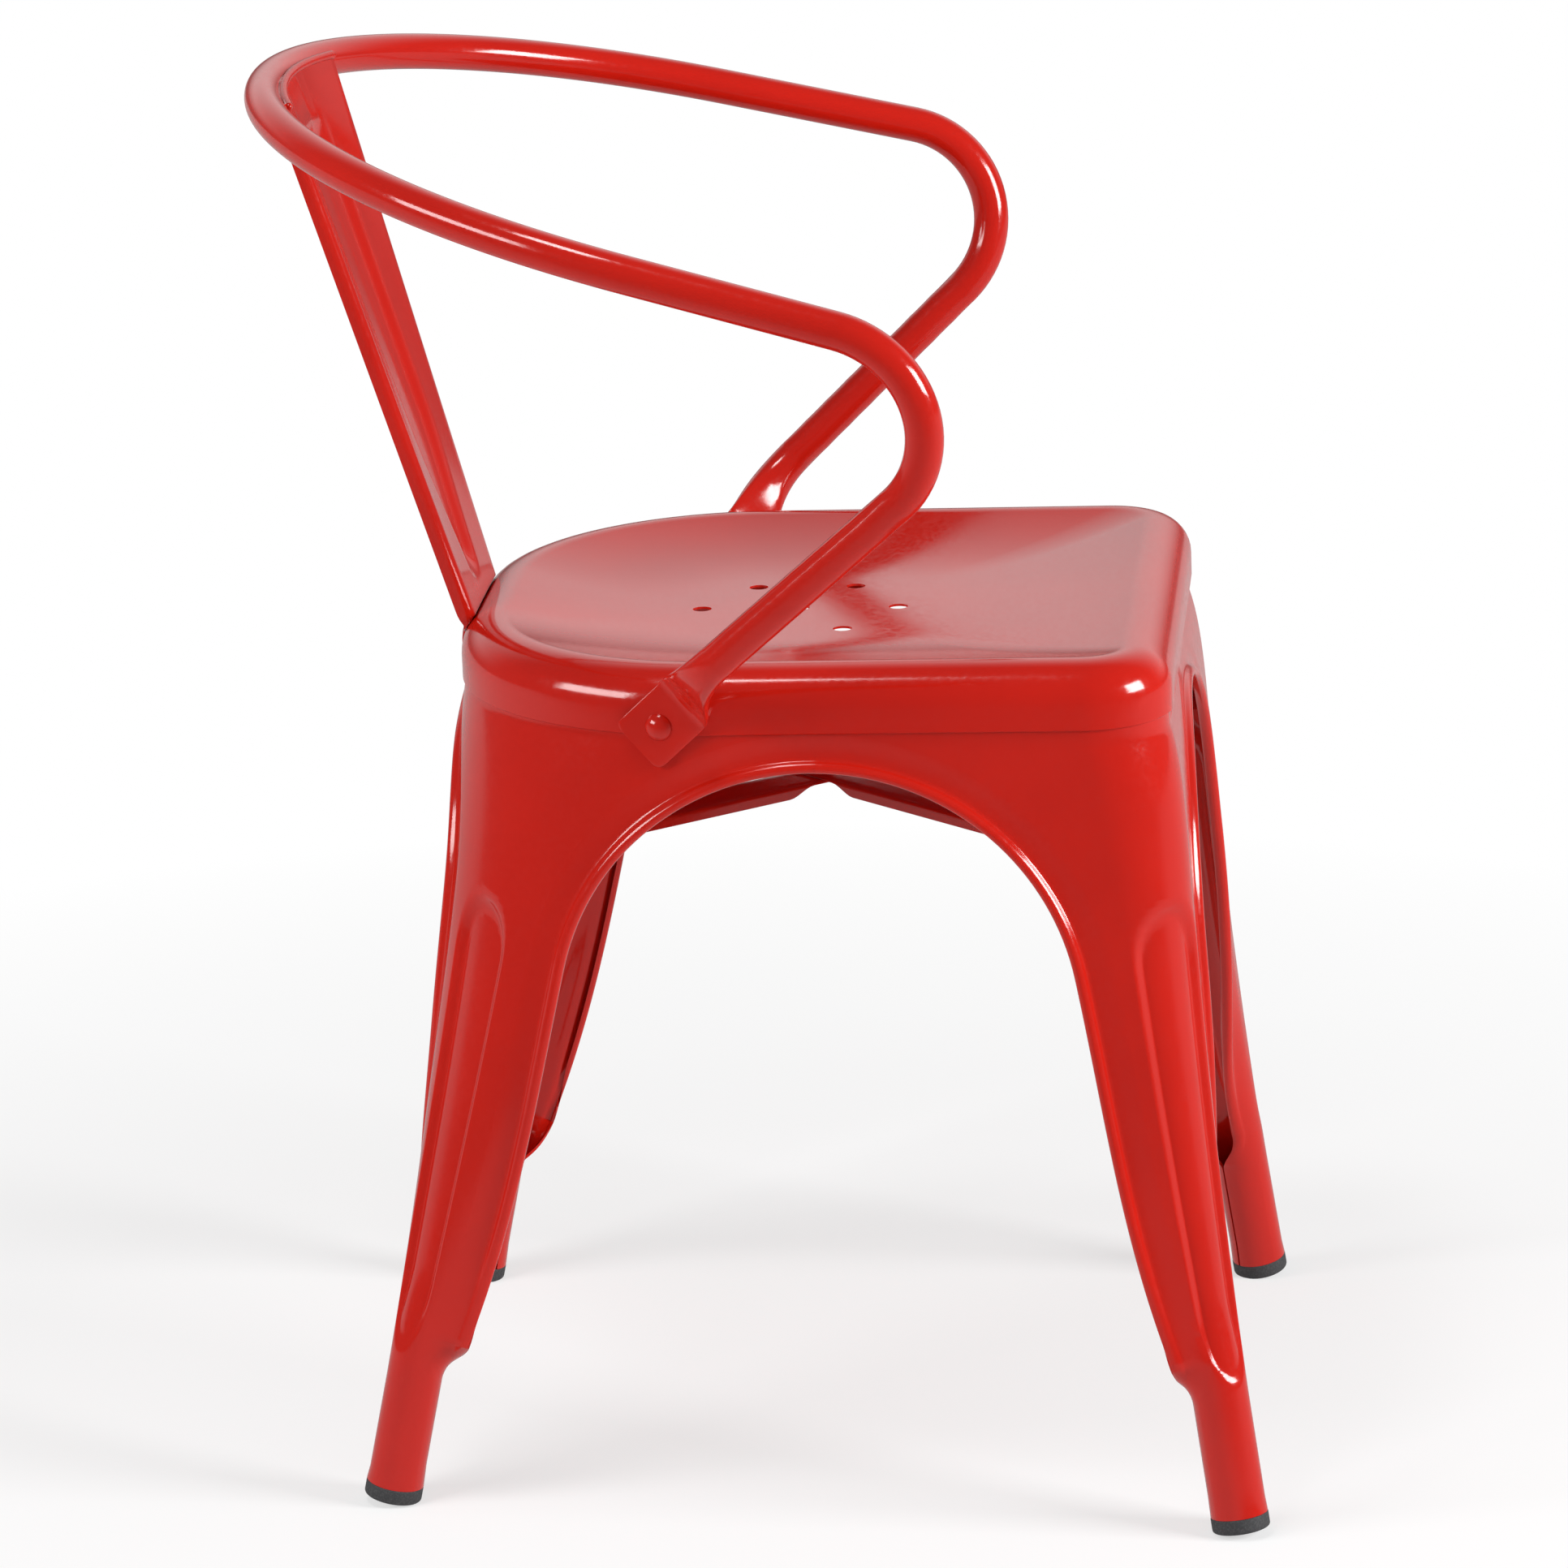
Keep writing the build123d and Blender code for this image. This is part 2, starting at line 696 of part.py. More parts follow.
def splat_slices():
    """Slices from the foot of the splat to above the rail. The trough ends short of both."""
    slices = []
    span = splat_top_height - splat_base_height
    trough_top = span - rail_radius - splat_trough_end
    for rise, trough in (
        (0, splat_trough_fade),
        (splat_trough_rise, splat_trough_fade),
        (splat_trough_rise + splat_trough_run, splat_trough_depth),
        (trough_top - splat_trough_run, splat_trough_depth),
        (trough_top, splat_trough_fade),
        (span + rail_diameter, splat_trough_fade),
    ):
        share = rise / span
        half_width = splat_base_half_width + share * (splat_top_half_width - splat_base_half_width)
        middle_y = splat_base_y + share * (splat_top_y - splat_base_y)
        base_edge_y = splat_base_y - splat_base_bow
        edge_y = base_edge_y + share * (splat_top_edge_y - base_edge_y)
        slices.append(splat_slice(splat_base_height + rise, half_width, middle_y, edge_y, trough))
    return slices


with BuildPart() as rail_envelope:
    with BuildSketch(crush_start):
        Circle(rail_radius + splat_trim_gap)
    sweep(path=rail_path.wires()[0])

splat_top_normal = Vector(0, -sin(radians(rail_slope)), cos(radians(rail_slope)))
splat_top_plane = Plane(origin=back_middle + splat_top_normal * splat_top_rise, z_dir=splat_top_normal)

with BuildPart() as back_splat:
    loft(sections=splat_slices(), ruled=True)
    mirror(about=Plane.YZ)
    split(bisect_by=splat_top_plane, keep=Keep.BOTTOM)
    add(rail_envelope.part, mode=Mode.SUBTRACT)
    knee_height = rear_crest_height - roll_radius + splat_tab_knee
    tab_foot_height = arch_apex_height + arch_rim_width + splat_tab_clearance
    with BuildSketch(Plane.YZ.offset(-splat_tab_half_width)):
        with BuildLine():
            Polyline(
                (splat_base_y, splat_base_height),
                (seat_rear_y, knee_height),
                (seat_rear_y, tab_foot_height),
                (seat_rear_y + splat_sheet, tab_foot_height),
                (seat_rear_y + splat_sheet, knee_height),
                (splat_base_y + splat_sheet, splat_base_height),
                close=True,
            )
        make_face()
    extrude(amount=2 * splat_tab_half_width)
    with BuildSketch(Plane.YZ.offset(splat_base_half_width - splat_sheet)):
        with BuildLine():
            Polyline(
                (splat_base_y, splat_base_height),
                (splat_base_y - splat_base_bow + splat_flange, splat_base_height),
                (seat_rear_y + splat_tail_width, knee_height - splat_tail_drop),
                (seat_rear_y + skirt_gap, knee_height - splat_tail_drop),
                (seat_rear_y + skirt_gap, knee_height),
                close=True,
            )
        make_face()
    flange_tail = extrude(amount=splat_sheet)
    mirror(flange_tail, about=Plane.YZ)
finish(back_splat, "back_splat")


# Cross brace: two channel strips on the diagonals, flattened and riveted where they cross

front_corner_point = Vector(*front.centre(brace_height), brace_height)
rear_corner_point = Vector(*rear.centre(brace_height), brace_height)
cross_share = front_corner_point.X / (front_corner_point.X + rear_corner_point.X)
cross_point = front_corner_point + (mirrored(rear_corner_point) - front_corner_point) * cross_share


def brace_reach(leg, corner_point):
    """Length of a strip from the crossing to the inside of a leg's corner."""
    room = leg.corner(brace_height) - leg_sheet - brace_end_gap
    return (corner_point - cross_point).length + sqrt(room**2 - brace_half_width**2)


front_reach = brace_reach(front, front_corner_point)
rear_reach = brace_reach(rear, rear_corner_point)


def strip_plane(side, level):
    """Plane of a strip's web. Its x runs towards the front leg on a side, 1 for the sitter's left."""
    towards = Vector(side * front_corner_point.X, front_corner_point.Y - cross_point.Y)
    return Plane(origin=cross_point + Vector(0, 0, level), x_dir=towards, z_dir=(0, 0, 1))


def strip_web(plane):
    """Outline of the flat top of a strip, with its rivet hole."""
    with BuildSketch(plane) as web:
        with Locations(((front_reach - rear_reach) / 2, 0)):
            Rectangle(front_reach + rear_reach, 2 * brace_half_width)
        Circle(rivet_shank_radius + rivet_clearance, mode=Mode.SUBTRACT)
    return web.sketch


def strip_flanges(plane, shift):
    """Side view of the flanges of a strip, shifted across it: they taper away at the crossing."""
    side_plane = Plane(origin=plane.origin, x_dir=plane.x_dir, z_dir=plane.y_dir)
    taper_end = brace_flat_half_length + brace_taper
    with BuildSketch(side_plane.offset(shift)) as flanges:
        for way, reach in ((1, front_reach), (-1, rear_reach)):
            with BuildLine():
                Polyline(
                    (way * brace_flat_half_length, 0),
                    (way * taper_end, brace_flange),
                    (way * reach, brace_flange),
                    (way * reach, 0),
                    close=True,
                )
            make_face()
    return flanges.sketch


lower_strip_plane = strip_plane(1, -brace_sheet)
upper_strip_plane = strip_plane(-1, 0)

with BuildPart() as brace_strip_lower:
    extrude(strip_web(lower_strip_plane), amount=brace_sheet)
    extrude(strip_flanges(lower_strip_plane, brace_half_width - brace_sheet), amount=brace_sheet)
    extrude(strip_flanges(lower_strip_plane, -brace_half_width), amount=brace_sheet)
finish(brace_strip_lower, "brace_strip_lower")

with BuildPart() as brace_strip_upper:
    extrude(strip_web(upper_strip_plane), amount=brace_sheet)
    extrude(strip_flanges(upper_strip_plane, brace_half_width - brace_sheet), amount=brace_sheet)
    extrude(strip_flanges(upper_strip_plane, -brace_half_width), amount=brace_sheet)
finish(brace_strip_upper, "brace_strip_upper")

brace_rivet_origin = cross_point + Vector(0, 0, brace_sheet)
brace_rivet_plane = Plane(origin=brace_rivet_origin, x_dir=(1, 0, 0), z_dir=(0, -1, 0))

with BuildPart() as brace_rivet:
    revolve(rivet_profile(brace_rivet_plane, 2 * brace_sheet), axis=Axis(brace_rivet_origin, (0, 0, 1)))
finish(brace_rivet, "brace_rivet")


# Weld beads

def brace_bead(plane, leg, way, reach):
    """Section of the bead between the end of a strip and the curved inside of a leg's corner."""
    room = leg.corner(brace_height) - leg_sheet - brace_end_gap
    sagitta = room - sqrt(room**2 - brace_half_width**2)
    strip_end = plane.origin + plane.x_dir * (way * reach) + Vector(0, 0, brace_sheet)
    with BuildSketch(Plane(origin=strip_end, x_dir=(0, 0, 1), z_dir=plane.y_dir)) as bead:
        Circle(sagitta + brace_end_gap + brace_weld_bite)
    return bead.sketch


with BuildPart() as brace_end_welds:
    for plane in (lower_strip_plane, upper_strip_plane):
        extrude(brace_bead(plane, front, 1, front_reach), amount=brace_weld_length / 2, both=True)
        extrude(brace_bead(plane, rear, -1, rear_reach), amount=brace_weld_length / 2, both=True)
    for piece in (leg_front_left, leg_front_right, leg_rear_left, leg_rear_right):
        add(piece.part, mode=Mode.SUBTRACT)
    for piece in (brace_strip_lower, brace_strip_upper):
        add(piece.part, mode=Mode.SUBTRACT)
finish(brace_end_welds, "brace_end_welds")


def top_weld_point(across):
    """A point of the bead's path, on the inner side of the rail along the splat's top edge."""
    standoff = top_weld_radius - top_weld_bite
    radius = rail_back_radius - sqrt(rail_radius**2 - splat_top_rise**2) - standoff
    rise = splat_top_normal * (splat_top_rise + top_weld_rise)
    return on_rail_plane(across, arc_centre_along + sqrt(radius**2 - across**2)) + rise


with BuildPart() as splat_top_weld:
    weld_end = splat_top_half_width - top_weld_end
    with BuildLine() as top_weld_path:
        ThreePointArc(top_weld_point(-weld_end), top_weld_point(0), top_weld_point(weld_end))
    with BuildSketch(Plane(origin=top_weld_path.line @ 0, z_dir=top_weld_path.line % 0)):
        Circle(top_weld_radius)
    sweep(path=top_weld_path.wires()[0])
    add(arm_rail.part, mode=Mode.SUBTRACT)
    add(back_splat.part, mode=Mode.SUBTRACT)
finish(splat_top_weld, "splat_top_weld")

with BuildPart() as splat_tab_welds:
    with BuildSketch(Plane.XY.offset(rear_skirt_height)):
        with Locations(
            (-splat_tab_half_width, seat_rear_y),
            (splat_tab_half_width, seat_rear_y),
        ):
            Circle(tab_weld_radius)
    extrude(amount=tab_weld_length)
    add(seat_pan.part, mode=Mode.SUBTRACT)
    add(back_splat.part, mode=Mode.SUBTRACT)
finish(splat_tab_welds, "splat_tab_welds")
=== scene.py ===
"""A pressed-steel armchair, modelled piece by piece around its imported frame."""

from dataclasses import dataclass
from math import asin, copysign, cos, exp, pi, radians, sin, sqrt, tan

import bpy
from mathutils import Matrix, Vector


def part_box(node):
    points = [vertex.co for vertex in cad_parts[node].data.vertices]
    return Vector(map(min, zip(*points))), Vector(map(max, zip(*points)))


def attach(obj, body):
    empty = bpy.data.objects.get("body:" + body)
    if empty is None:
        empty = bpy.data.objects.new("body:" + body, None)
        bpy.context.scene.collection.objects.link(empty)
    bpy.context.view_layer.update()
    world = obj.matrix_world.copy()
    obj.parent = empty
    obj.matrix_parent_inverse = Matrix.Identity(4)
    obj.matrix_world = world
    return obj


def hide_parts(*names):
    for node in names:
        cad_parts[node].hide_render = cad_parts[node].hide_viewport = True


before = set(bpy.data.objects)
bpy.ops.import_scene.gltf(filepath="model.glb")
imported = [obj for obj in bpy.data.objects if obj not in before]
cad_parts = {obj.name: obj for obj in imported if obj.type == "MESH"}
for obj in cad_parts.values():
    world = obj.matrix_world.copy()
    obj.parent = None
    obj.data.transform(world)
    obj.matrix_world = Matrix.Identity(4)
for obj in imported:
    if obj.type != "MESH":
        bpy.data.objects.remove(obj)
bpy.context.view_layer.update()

bl_info = {
    "name": "Pressed Steel Armchair",
    "version": (1, 0, 0),
    "blender": (4, 5, 0),
    "location": "View3D > Sidebar > Armchair",
    "description": "Models a riveted sheet-steel armchair with one bent tube for its back and arms",
    "category": "Add Mesh",
}

mm = 0.001
seat_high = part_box("seat_pan")[1]


# Settings

def linear(code):
    """The linear colour of an sRGB hex value."""
    parts = [int(code[place:place + 2], 16) / 255 for place in (1, 3, 5)]
    return tuple(p / 12.92 if p <= 0.04045 else ((p + 0.055) / 1.055) ** 2.4 for p in parts)


def length(title, about, default):
    """A setting in metres."""
    return bpy.props.FloatProperty(
        name=title, description=about, default=default, unit="LENGTH", precision=4
    )


def lengths(title, about, *default):
    """Some settings in metres that belong together."""
    return bpy.props.FloatVectorProperty(
        name=title, description=about, default=default, size=len(default), unit="LENGTH", precision=4
    )


def angle(title, about, degrees):
    """A setting that is an angle."""
    return bpy.props.FloatProperty(
        name=title, description=about, default=radians(degrees), subtype="ANGLE"
    )


def factor(title, about, default, least=0):
    """A setting that is a share of a whole."""
    return bpy.props.FloatProperty(
        name=title, description=about, default=default, subtype="FACTOR", min=least, max=1
    )


def brightness(title, about, default):
    """A setting that is the strength of a light."""
    return bpy.props.FloatProperty(name=title, description=about, default=default, min=0)


def powers(title, about, *default):
    """Some plain numbers that belong together."""
    return bpy.props.FloatVectorProperty(
        name=title, description=about, default=default, size=len(default)
    )


def colour(title, about, code):
    """A colour from its sRGB hex value."""
    return bpy.props.FloatVectorProperty(
        name=title, description=about, default=linear(code), size=3, subtype="COLOR", min=0, max=1
    )


class SeatSizes(bpy.types.PropertyGroup):
    half_width: length("Half width", "From the middle of the seat to its side", seat_high.x)
    front_y: length("Front", "Place of the front of the skirt", -214.5 * mm)
    rear_y: length("Rear", "Place of the back of the skirt", 157.5 * mm)
    centre_y: length("Centre", "Place of the middle drain hole", -15.0 * mm)
    crest: length("Crest height", "Height of the rim above the floor", 447.4 * mm)
    tilt: angle("Tilt", "How far the seat leans back", 1.15)
    skirt: length("Skirt height", "From the crest to the foot of the skirt", 32.4 * mm)
    front_corner: length("Front corner", "Radius of the front corners", 45.0 * mm)
    rear_corner: length("Rear corner", "Radius of the rear corners", 142.0 * mm)
    roll: length("Roll radius", "Radius of the rolled edge", 20.0 * mm)
    rim: length("Rim width", "Flat between the roll and the dish", 3.0 * mm)
    dish: length("Dish depth", "Depth of the dish below the rim", 13.0 * mm)
    sheet: length("Sheet", "Thickness of the pressed sheet", 1.2 * mm)
    hole: length("Drain hole", "Radius of a drain hole", 5.0 * mm)
    hole_circle: length("Hole circle", "Radius of the ring of drain holes", 51.5 * mm)


class LegSizes(bpy.types.PropertyGroup):
    gap: length("Gap", "Between the skirt and the apron inside it", 0.4 * mm)
    sheet: length("Sheet", "Thickness of the pressed sheet", 1.5 * mm)
    overlap: length("Overlap", "How far the apron goes up inside the skirt", 10.0 * mm)
    apron: length("Apron depth", "From the skirt's foot to the top of the arches", 20.0 * mm)
    split_y: length("Side split", "Where the front and rear legs meet", -37.5 * mm)
    foot_front: lengths("Front foot", "Middle of the left front foot", 198.0 * mm, -251.5 * mm)
    foot_rear: lengths("Rear foot", "Middle of the left rear foot", 172.0 * mm, 189.5 * mm)
    flare: powers("Flare", "Power of the spread of the front and rear legs", 1.55, 1.95)
    rounding: powers("Rounding", "Power of the growth of the corner, front and rear", 1.2, 1.35)
    swell: lengths("Swell", "How far the front and rear aprons swell", 8.0 * mm, 2.8 * mm)
    swell_run: length("Swell run", "Height over which the swell comes", 24.0 * mm)
    tube: length("Foot tube", "Radius of the rolled foot", 14.6 * mm)
    tube_top: length("Tube top", "Height where the foot tube starts", 72.0 * mm)
    seam: length("Seam", "Gap between the edges of the foot tube", 3.0 * mm)
    flange_end: length("Flange end", "Height where the arch's rolled edge runs out", 88.0 * mm)
    end_roll_top: length("End roll top", "Height where the end walls start to roll in", 280.0 * mm)
    end_roll: factor("End roll", "How far those walls are rolled in at their foot", 0.95)
    curl_end: length("Curl end", "Height where the sheet has closed to a tube", 66.0 * mm)
    crown: length("Arch crown", "Radius of the top of the side arches", 132.5 * mm)
    crown_lean: angle("Crown lean", "Lean of the arch below its crown", 12.0)
    foot_lean: angle("Foot lean", "Lean of the arch at the foot", 23.0)
    inset: lengths("Side inset", "From the foot tube to the side arch, front and rear", 2.5 * mm, 7.8 * mm)
    end_inset: length("End inset", "From the foot tube to the front or rear arch", 6.0 * mm)
    pull: factor("Arch pull", "Stiffness of the arch's curve", 0.36)
    panel_top: lengths("Panel top", "Height of the top of the pressed panel", 327.0 * mm, 322.0 * mm)
    panel_tip: lengths("Panel tip", "Height of the panel's tip", 79.0 * mm, 84.0 * mm)
    panel_head: lengths("Panel head", "Half width of the panel's head", 26.0 * mm, 23.0 * mm)
    panel_tail: lengths("Panel tail", "Half width of the panel near its tip", 16.5 * mm, 14.0 * mm)
    panel_shift: lengths("Panel shift", "How far the head lies off the corner", 0.0 * mm, 5.0 * mm)
    panel_depth: length("Panel depth", "How deep the panel is pressed", 4.6 * mm)
    panel_wall: length("Panel wall", "Width of the panel's sloping wall", 7.0 * mm)


class CapSizes(bpy.types.PropertyGroup):
    radius: length("Radius", "Radius of the rubber cap", 14.9 * mm)
    height: length("Height", "Height of the rubber cap", 8.0 * mm)
    rounding: length("Rounding", "Radius of the cap's lower edge", 1.5 * mm)
    flat: length("Worn flat", "Depth of the flat worn on the low edge", 0.6 * mm)
    plug: length("Plug", "Length of the plug in the tube", 14.0 * mm)
    clearance: length("Clearance", "Between the plug and the tube", 0.25 * mm)


class RailSizes(bpy.types.PropertyGroup):
    radius: length("Radius", "Radius of the tube", 9.5 * mm)
    slope: angle("Slope", "Rise of the arms towards the back", 13.06)
    height: length("Height", "Height of the arms' plane at the middle", 653.8 * mm)
    back_y: length("Back", "Place of the back of the rail", 255.2 * mm)
    back_radius: length("Back radius", "Radius of the back", 255.0 * mm)
    splay: angle("Splay", "How far the arms open towards the front", 8.5)
    corner_y: length("Arm corner", "Where an arm would turn down", -155.0 * mm)
    bend: length("Bend radius", "Radius of the bend at the front of an arm", 53.0 * mm)
    standoff: length("Stand-off", "From the seat's side to the end of the round tube", 34.0 * mm)
    end_y: length("Arm end", "Place of the end of the round tube", 22.0 * mm)
    end_rise: length("End rise", "Height of the end of the round tube over the rivet", 30.0 * mm)
    plate_width: length("Plate width", "Width of the crushed end", 32.0 * mm)
    plate_length: length("Plate length", "Length of the crushed end", 33.0 * mm)
    plate_sheet: length("Plate sheet", "Thickness of the crushed end", 3.0 * mm)
    plate_corner: length("Plate corner", "Radius of the plate's corners", 4.0 * mm)
    crush_lead: length("Crush lead", "How far before the tube's end it starts to flatten", 24.0 * mm)
    plate_pitch: angle("Plate pitch", "How steeply the plate points down", 43.8)
    setback: length("Setback", "From the rivet to the start of the plate", 17.0 * mm)
    rivet_y: length("Rivet", "Place of the rivet", 40.0 * mm)
    rivet_rise: length("Rivet rise", "Height of the rivet over the skirt's foot", 5.0 * mm)


class RivetSizes(bpy.types.PropertyGroup):
    head: length("Head", "Radius of the domed head", 7.0 * mm)
    dome: length("Dome", "Height of the domed head", 3.6 * mm)
    shank: length("Shank", "Radius of the shank", 3.0 * mm)
    tail: length("Tail", "Radius of the flattened tail", 5.0 * mm)
    tail_height: length("Tail height", "Thickness of the flattened tail", 1.8 * mm)


class SplatSizes(bpy.types.PropertyGroup):
    sheet: length("Sheet", "Thickness of the pressed sheet", 1.2 * mm)
    rise: length("Base rise", "From the rear crest to the splat's foot", 2.5 * mm)
    setback: length("Setback", "From the rear skirt to the splat's foot", 5.0 * mm)
    base: length("Base", "Half width at the foot", 47.0 * mm)
    top: length("Top", "Half width at the rail", 80.0 * mm)
    bow: length("Base bow", "Bow of the face at its foot", 0.6 * mm)
    top_rise: length("Top rise", "How far the top stands over the rail's middle", 5.0 * mm)
    flange: length("Flange", "Depth of the folded sides", 9.0 * mm)
    fold: length("Fold radius", "Radius of the folded edges", 4.6 * mm)
    gap: length("Rail gap", "Between the splat and the rail", 0.8 * mm)
    trough: lengths(
        "Trough", "Half width of the trough's floor, its slope and its depth", 17.0 * mm, 8.0 * mm, 4.0 * mm
    )
    trough_point: factor("Trough point", "Share of the floor's width at its foot", 0.2, 0.05)
    trough_taper: length("Trough taper", "Height over which the trough's foot widens", 90.0 * mm)
    trough_foot: length("Trough foot", "From the splat's foot to the trough", 2.0 * mm)
    trough_run: length("Trough run", "Length of the trough's ends", 16.0 * mm)
    trough_end: length("Trough end", "From the trough to the rail", 12.0 * mm)
    tab: length("Tab", "Half width of the tab down the rear skirt", 32.0 * mm)
    flange_end: length("Flange end", "From the splat's foot to the round end of a flange", 4.0 * mm)
    flange_round: length("Flange round", "Height of the round end of a flange", 9.0 * mm)
    tab_clearance: length("Tab clearance", "From the tab to the arch's rolled edge", 1.5 * mm)


class BraceSizes(bpy.types.PropertyGroup):
    drop: length("Drop", "From the skirt's foot to the strips", 69.5 * mm)
    half_width: length("Half width", "Half width of a strip", 13.0 * mm)
    sheet: length("Sheet", "Thickness of a strip", 1.5 * mm)
    flange: length("Flange", "Depth of the folded sides", 5.0 * mm)
    flat: length("Flat", "Half length of the flattened middle", 18.0 * mm)
    taper: length("Taper", "Length over which the sides run out", 16.0 * mm)
    end_gap: length("End gap", "Between a strip's end and the leg", 0.5 * mm)
    fold: length("Fold radius", "Radius of the folded edges", 2.0 * mm)


class WeldSizes(bpy.types.PropertyGroup):
    top: length("Top bead", "Radius of the bead along the splat's top", 2.2 * mm)
    top_bite: length("Top bite", "How far that bead goes into the rail", 0.75 * mm)
    top_rise: length("Top rise", "Height of that bead over the splat's edge", 0.5 * mm)
    top_end: length("Top end", "From the bead's end to the splat's side", 3.0 * mm)
    tab: length("Tab bead", "Radius of the beads beside the tab", 1.6 * mm)
    tab_length: length("Tab bead length", "Length of the beads beside the tab", 9.0 * mm)
    brace_bite: length("Brace bite", "How far a brace bead goes into the leg", 0.3 * mm)
    brace_length: length("Brace bead length", "Length of a brace bead", 12.0 * mm)
    ripple: length("Ripple", "Spacing of the ripples in a bead", 2.4 * mm)


class Finishes(bpy.types.PropertyGroup):
    coat: colour("Coat", "Red of the powder coat", "#c41c0f")
    coat_deep: colour("Deep coat", "Red where the coat lies thicker", "#b4170c")
    rubber: colour("Rubber", "Grey of the moulded rubber", "#343436")
    rubber_dust: colour("Rubber dust", "Grey of the dust in the rubber's grain", "#4a4a4b")
    floor: colour("Floor", "Colour of the studio floor", "#f4f4f4")


class StageSettings(bpy.types.PropertyGroup):
    azimuth: angle("Azimuth", "Turn of the camera from the chair's right side to its front", 5.31)
    elevation: angle("Elevation", "Height of the camera over the horizon", 15.764)
    roll: angle("Roll", "Turn of the picture", -1.0)
    distance: length("Distance", "From the camera to the point that it looks at", 3.81246)
    target: lengths("Target", "Point that the camera looks at", 0.0, -5.145 * mm, 338.49 * mm)
    focal_pixels: bpy.props.FloatProperty(
        name="Focal length", description="In pixels of the picture", default=8922.3, subtype="PIXEL"
    )
    picture: bpy.props.IntProperty(
        name="Picture", description="Width of the picture", default=1932, subtype="PIXEL"
    )
    floor: length("Floor", "Width of the studio floor", 14.0)
    floor_glow: factor("Floor glow", "How far the floor by the chair is lifted to white", 0.6)
    surround: brightness("Surround", "Strength of the surround as light", 0.2)
    near_gloss: brightness("Near gloss", "Surround in the gloss, near side", 0.14)
    floor_gloss: brightness("Floor gloss", "Floor in the gloss, by the chair", 0.5)
    far_gloss: brightness("Far gloss", "Surround in the gloss, beyond the chair", 1.0)


SETTINGS = {
    "seat": SeatSizes,
    "leg": LegSizes,
    "cap": CapSizes,
    "rail": RailSizes,
    "rivet": RivetSizes,
    "splat": SplatSizes,
    "brace": BraceSizes,
    "weld": WeldSizes,
    "finish": Finishes,
    "stage": StageSettings,
}


def settings(name):
    """The scene's own copy of a group of settings."""
    return getattr(bpy.context.scene, "armchair_" + name)


# Materials

def add_node(tree, kind, values=None, links=None):
    """Add a node, set its options and sockets, and link other nodes' outputs to it."""
    node = tree.nodes.new(kind)
    for key, value in (values or {}).items():
        if isinstance(key, int) or key in node.inputs:
            node.inputs[key].default_value = value
        else:
            setattr(node, key, value)
    for key, socket in (links or {}).items():
        tree.links.new(socket, node.inputs[key])
    return node


def new_material(name):
    """An empty material and its node tree."""
    material = bpy.data.materials.new(name)
    material.use_nodes = True
    material.node_tree.nodes.clear()
    return material, material.node_tree


def powder_coat():
    """Gloss polyester powder coat, sprayed and baked on steel. The baked film levels to a fine
    orange peel, lies a little deeper in colour where it is thicker, and mirrors lamps sharply."""
    found = bpy.data.materials.get("powder_coat_red")
    if found:
        return found
    finish = settings("finish")
    peel_size = 2.6 * mm
    sheet_wave = 45.0 * mm
    film_patch = 70.0 * mm
    material, tree = new_material("powder_coat_red")
    place = add_node(tree, "ShaderNodeTexCoord").outputs["Object"]
    patch = add_node(
        tree, "ShaderNodeTexNoise", {"Scale": 1 / film_patch, "Detail": 2.0}, {"Vector": place}
    )
    red = add_node(
        tree,
        "ShaderNodeMix",
        {"data_type": "RGBA", 6: (*finish.coat, 1), 7: (*finish.coat_deep, 1)},
        {0: patch.outputs["Fac"]},
    )
    peel = add_node(tree, "ShaderNodeTexNoise", {"Scale": 1 / peel_size, "Detail": 1.0}, {"Vector": place})
    gloss = add_node(
        tree,
        "ShaderNodeMapRange",
        {"From Min": 0.3, "From Max": 0.7, "To Min": 0.1, "To Max": 0.17},
        {"Value": peel.outputs["Fac"]},
    )
    wave = add_node(tree, "ShaderNodeTexNoise", {"Scale": 1 / sheet_wave, "Detail": 0.0}, {"Vector": place})
    rolling = add_node(
        tree, "ShaderNodeBump", {"Strength": 0.12, "Distance": 0.6 * mm}, {"Height": wave.outputs["Fac"]}
    )
    skin = add_node(
        tree,
        "ShaderNodeBump",
        {"Strength": 0.07, "Distance": 0.12 * mm},
        {"Height": peel.outputs["Fac"], "Normal": rolling.outputs["Normal"]},
    )
    shader = add_node(
        tree,
        "ShaderNodeBsdfPrincipled",
        {"IOR": 1.52, "Metallic": 0.0},
        {
            "Base Color": red.outputs[2],
            "Roughness": gloss.outputs["Result"],
            "Normal": skin.outputs["Normal"],
        },
    )
    add_node(tree, "ShaderNodeOutputMaterial", None, {"Surface": shader.outputs["BSDF"]})
    return material


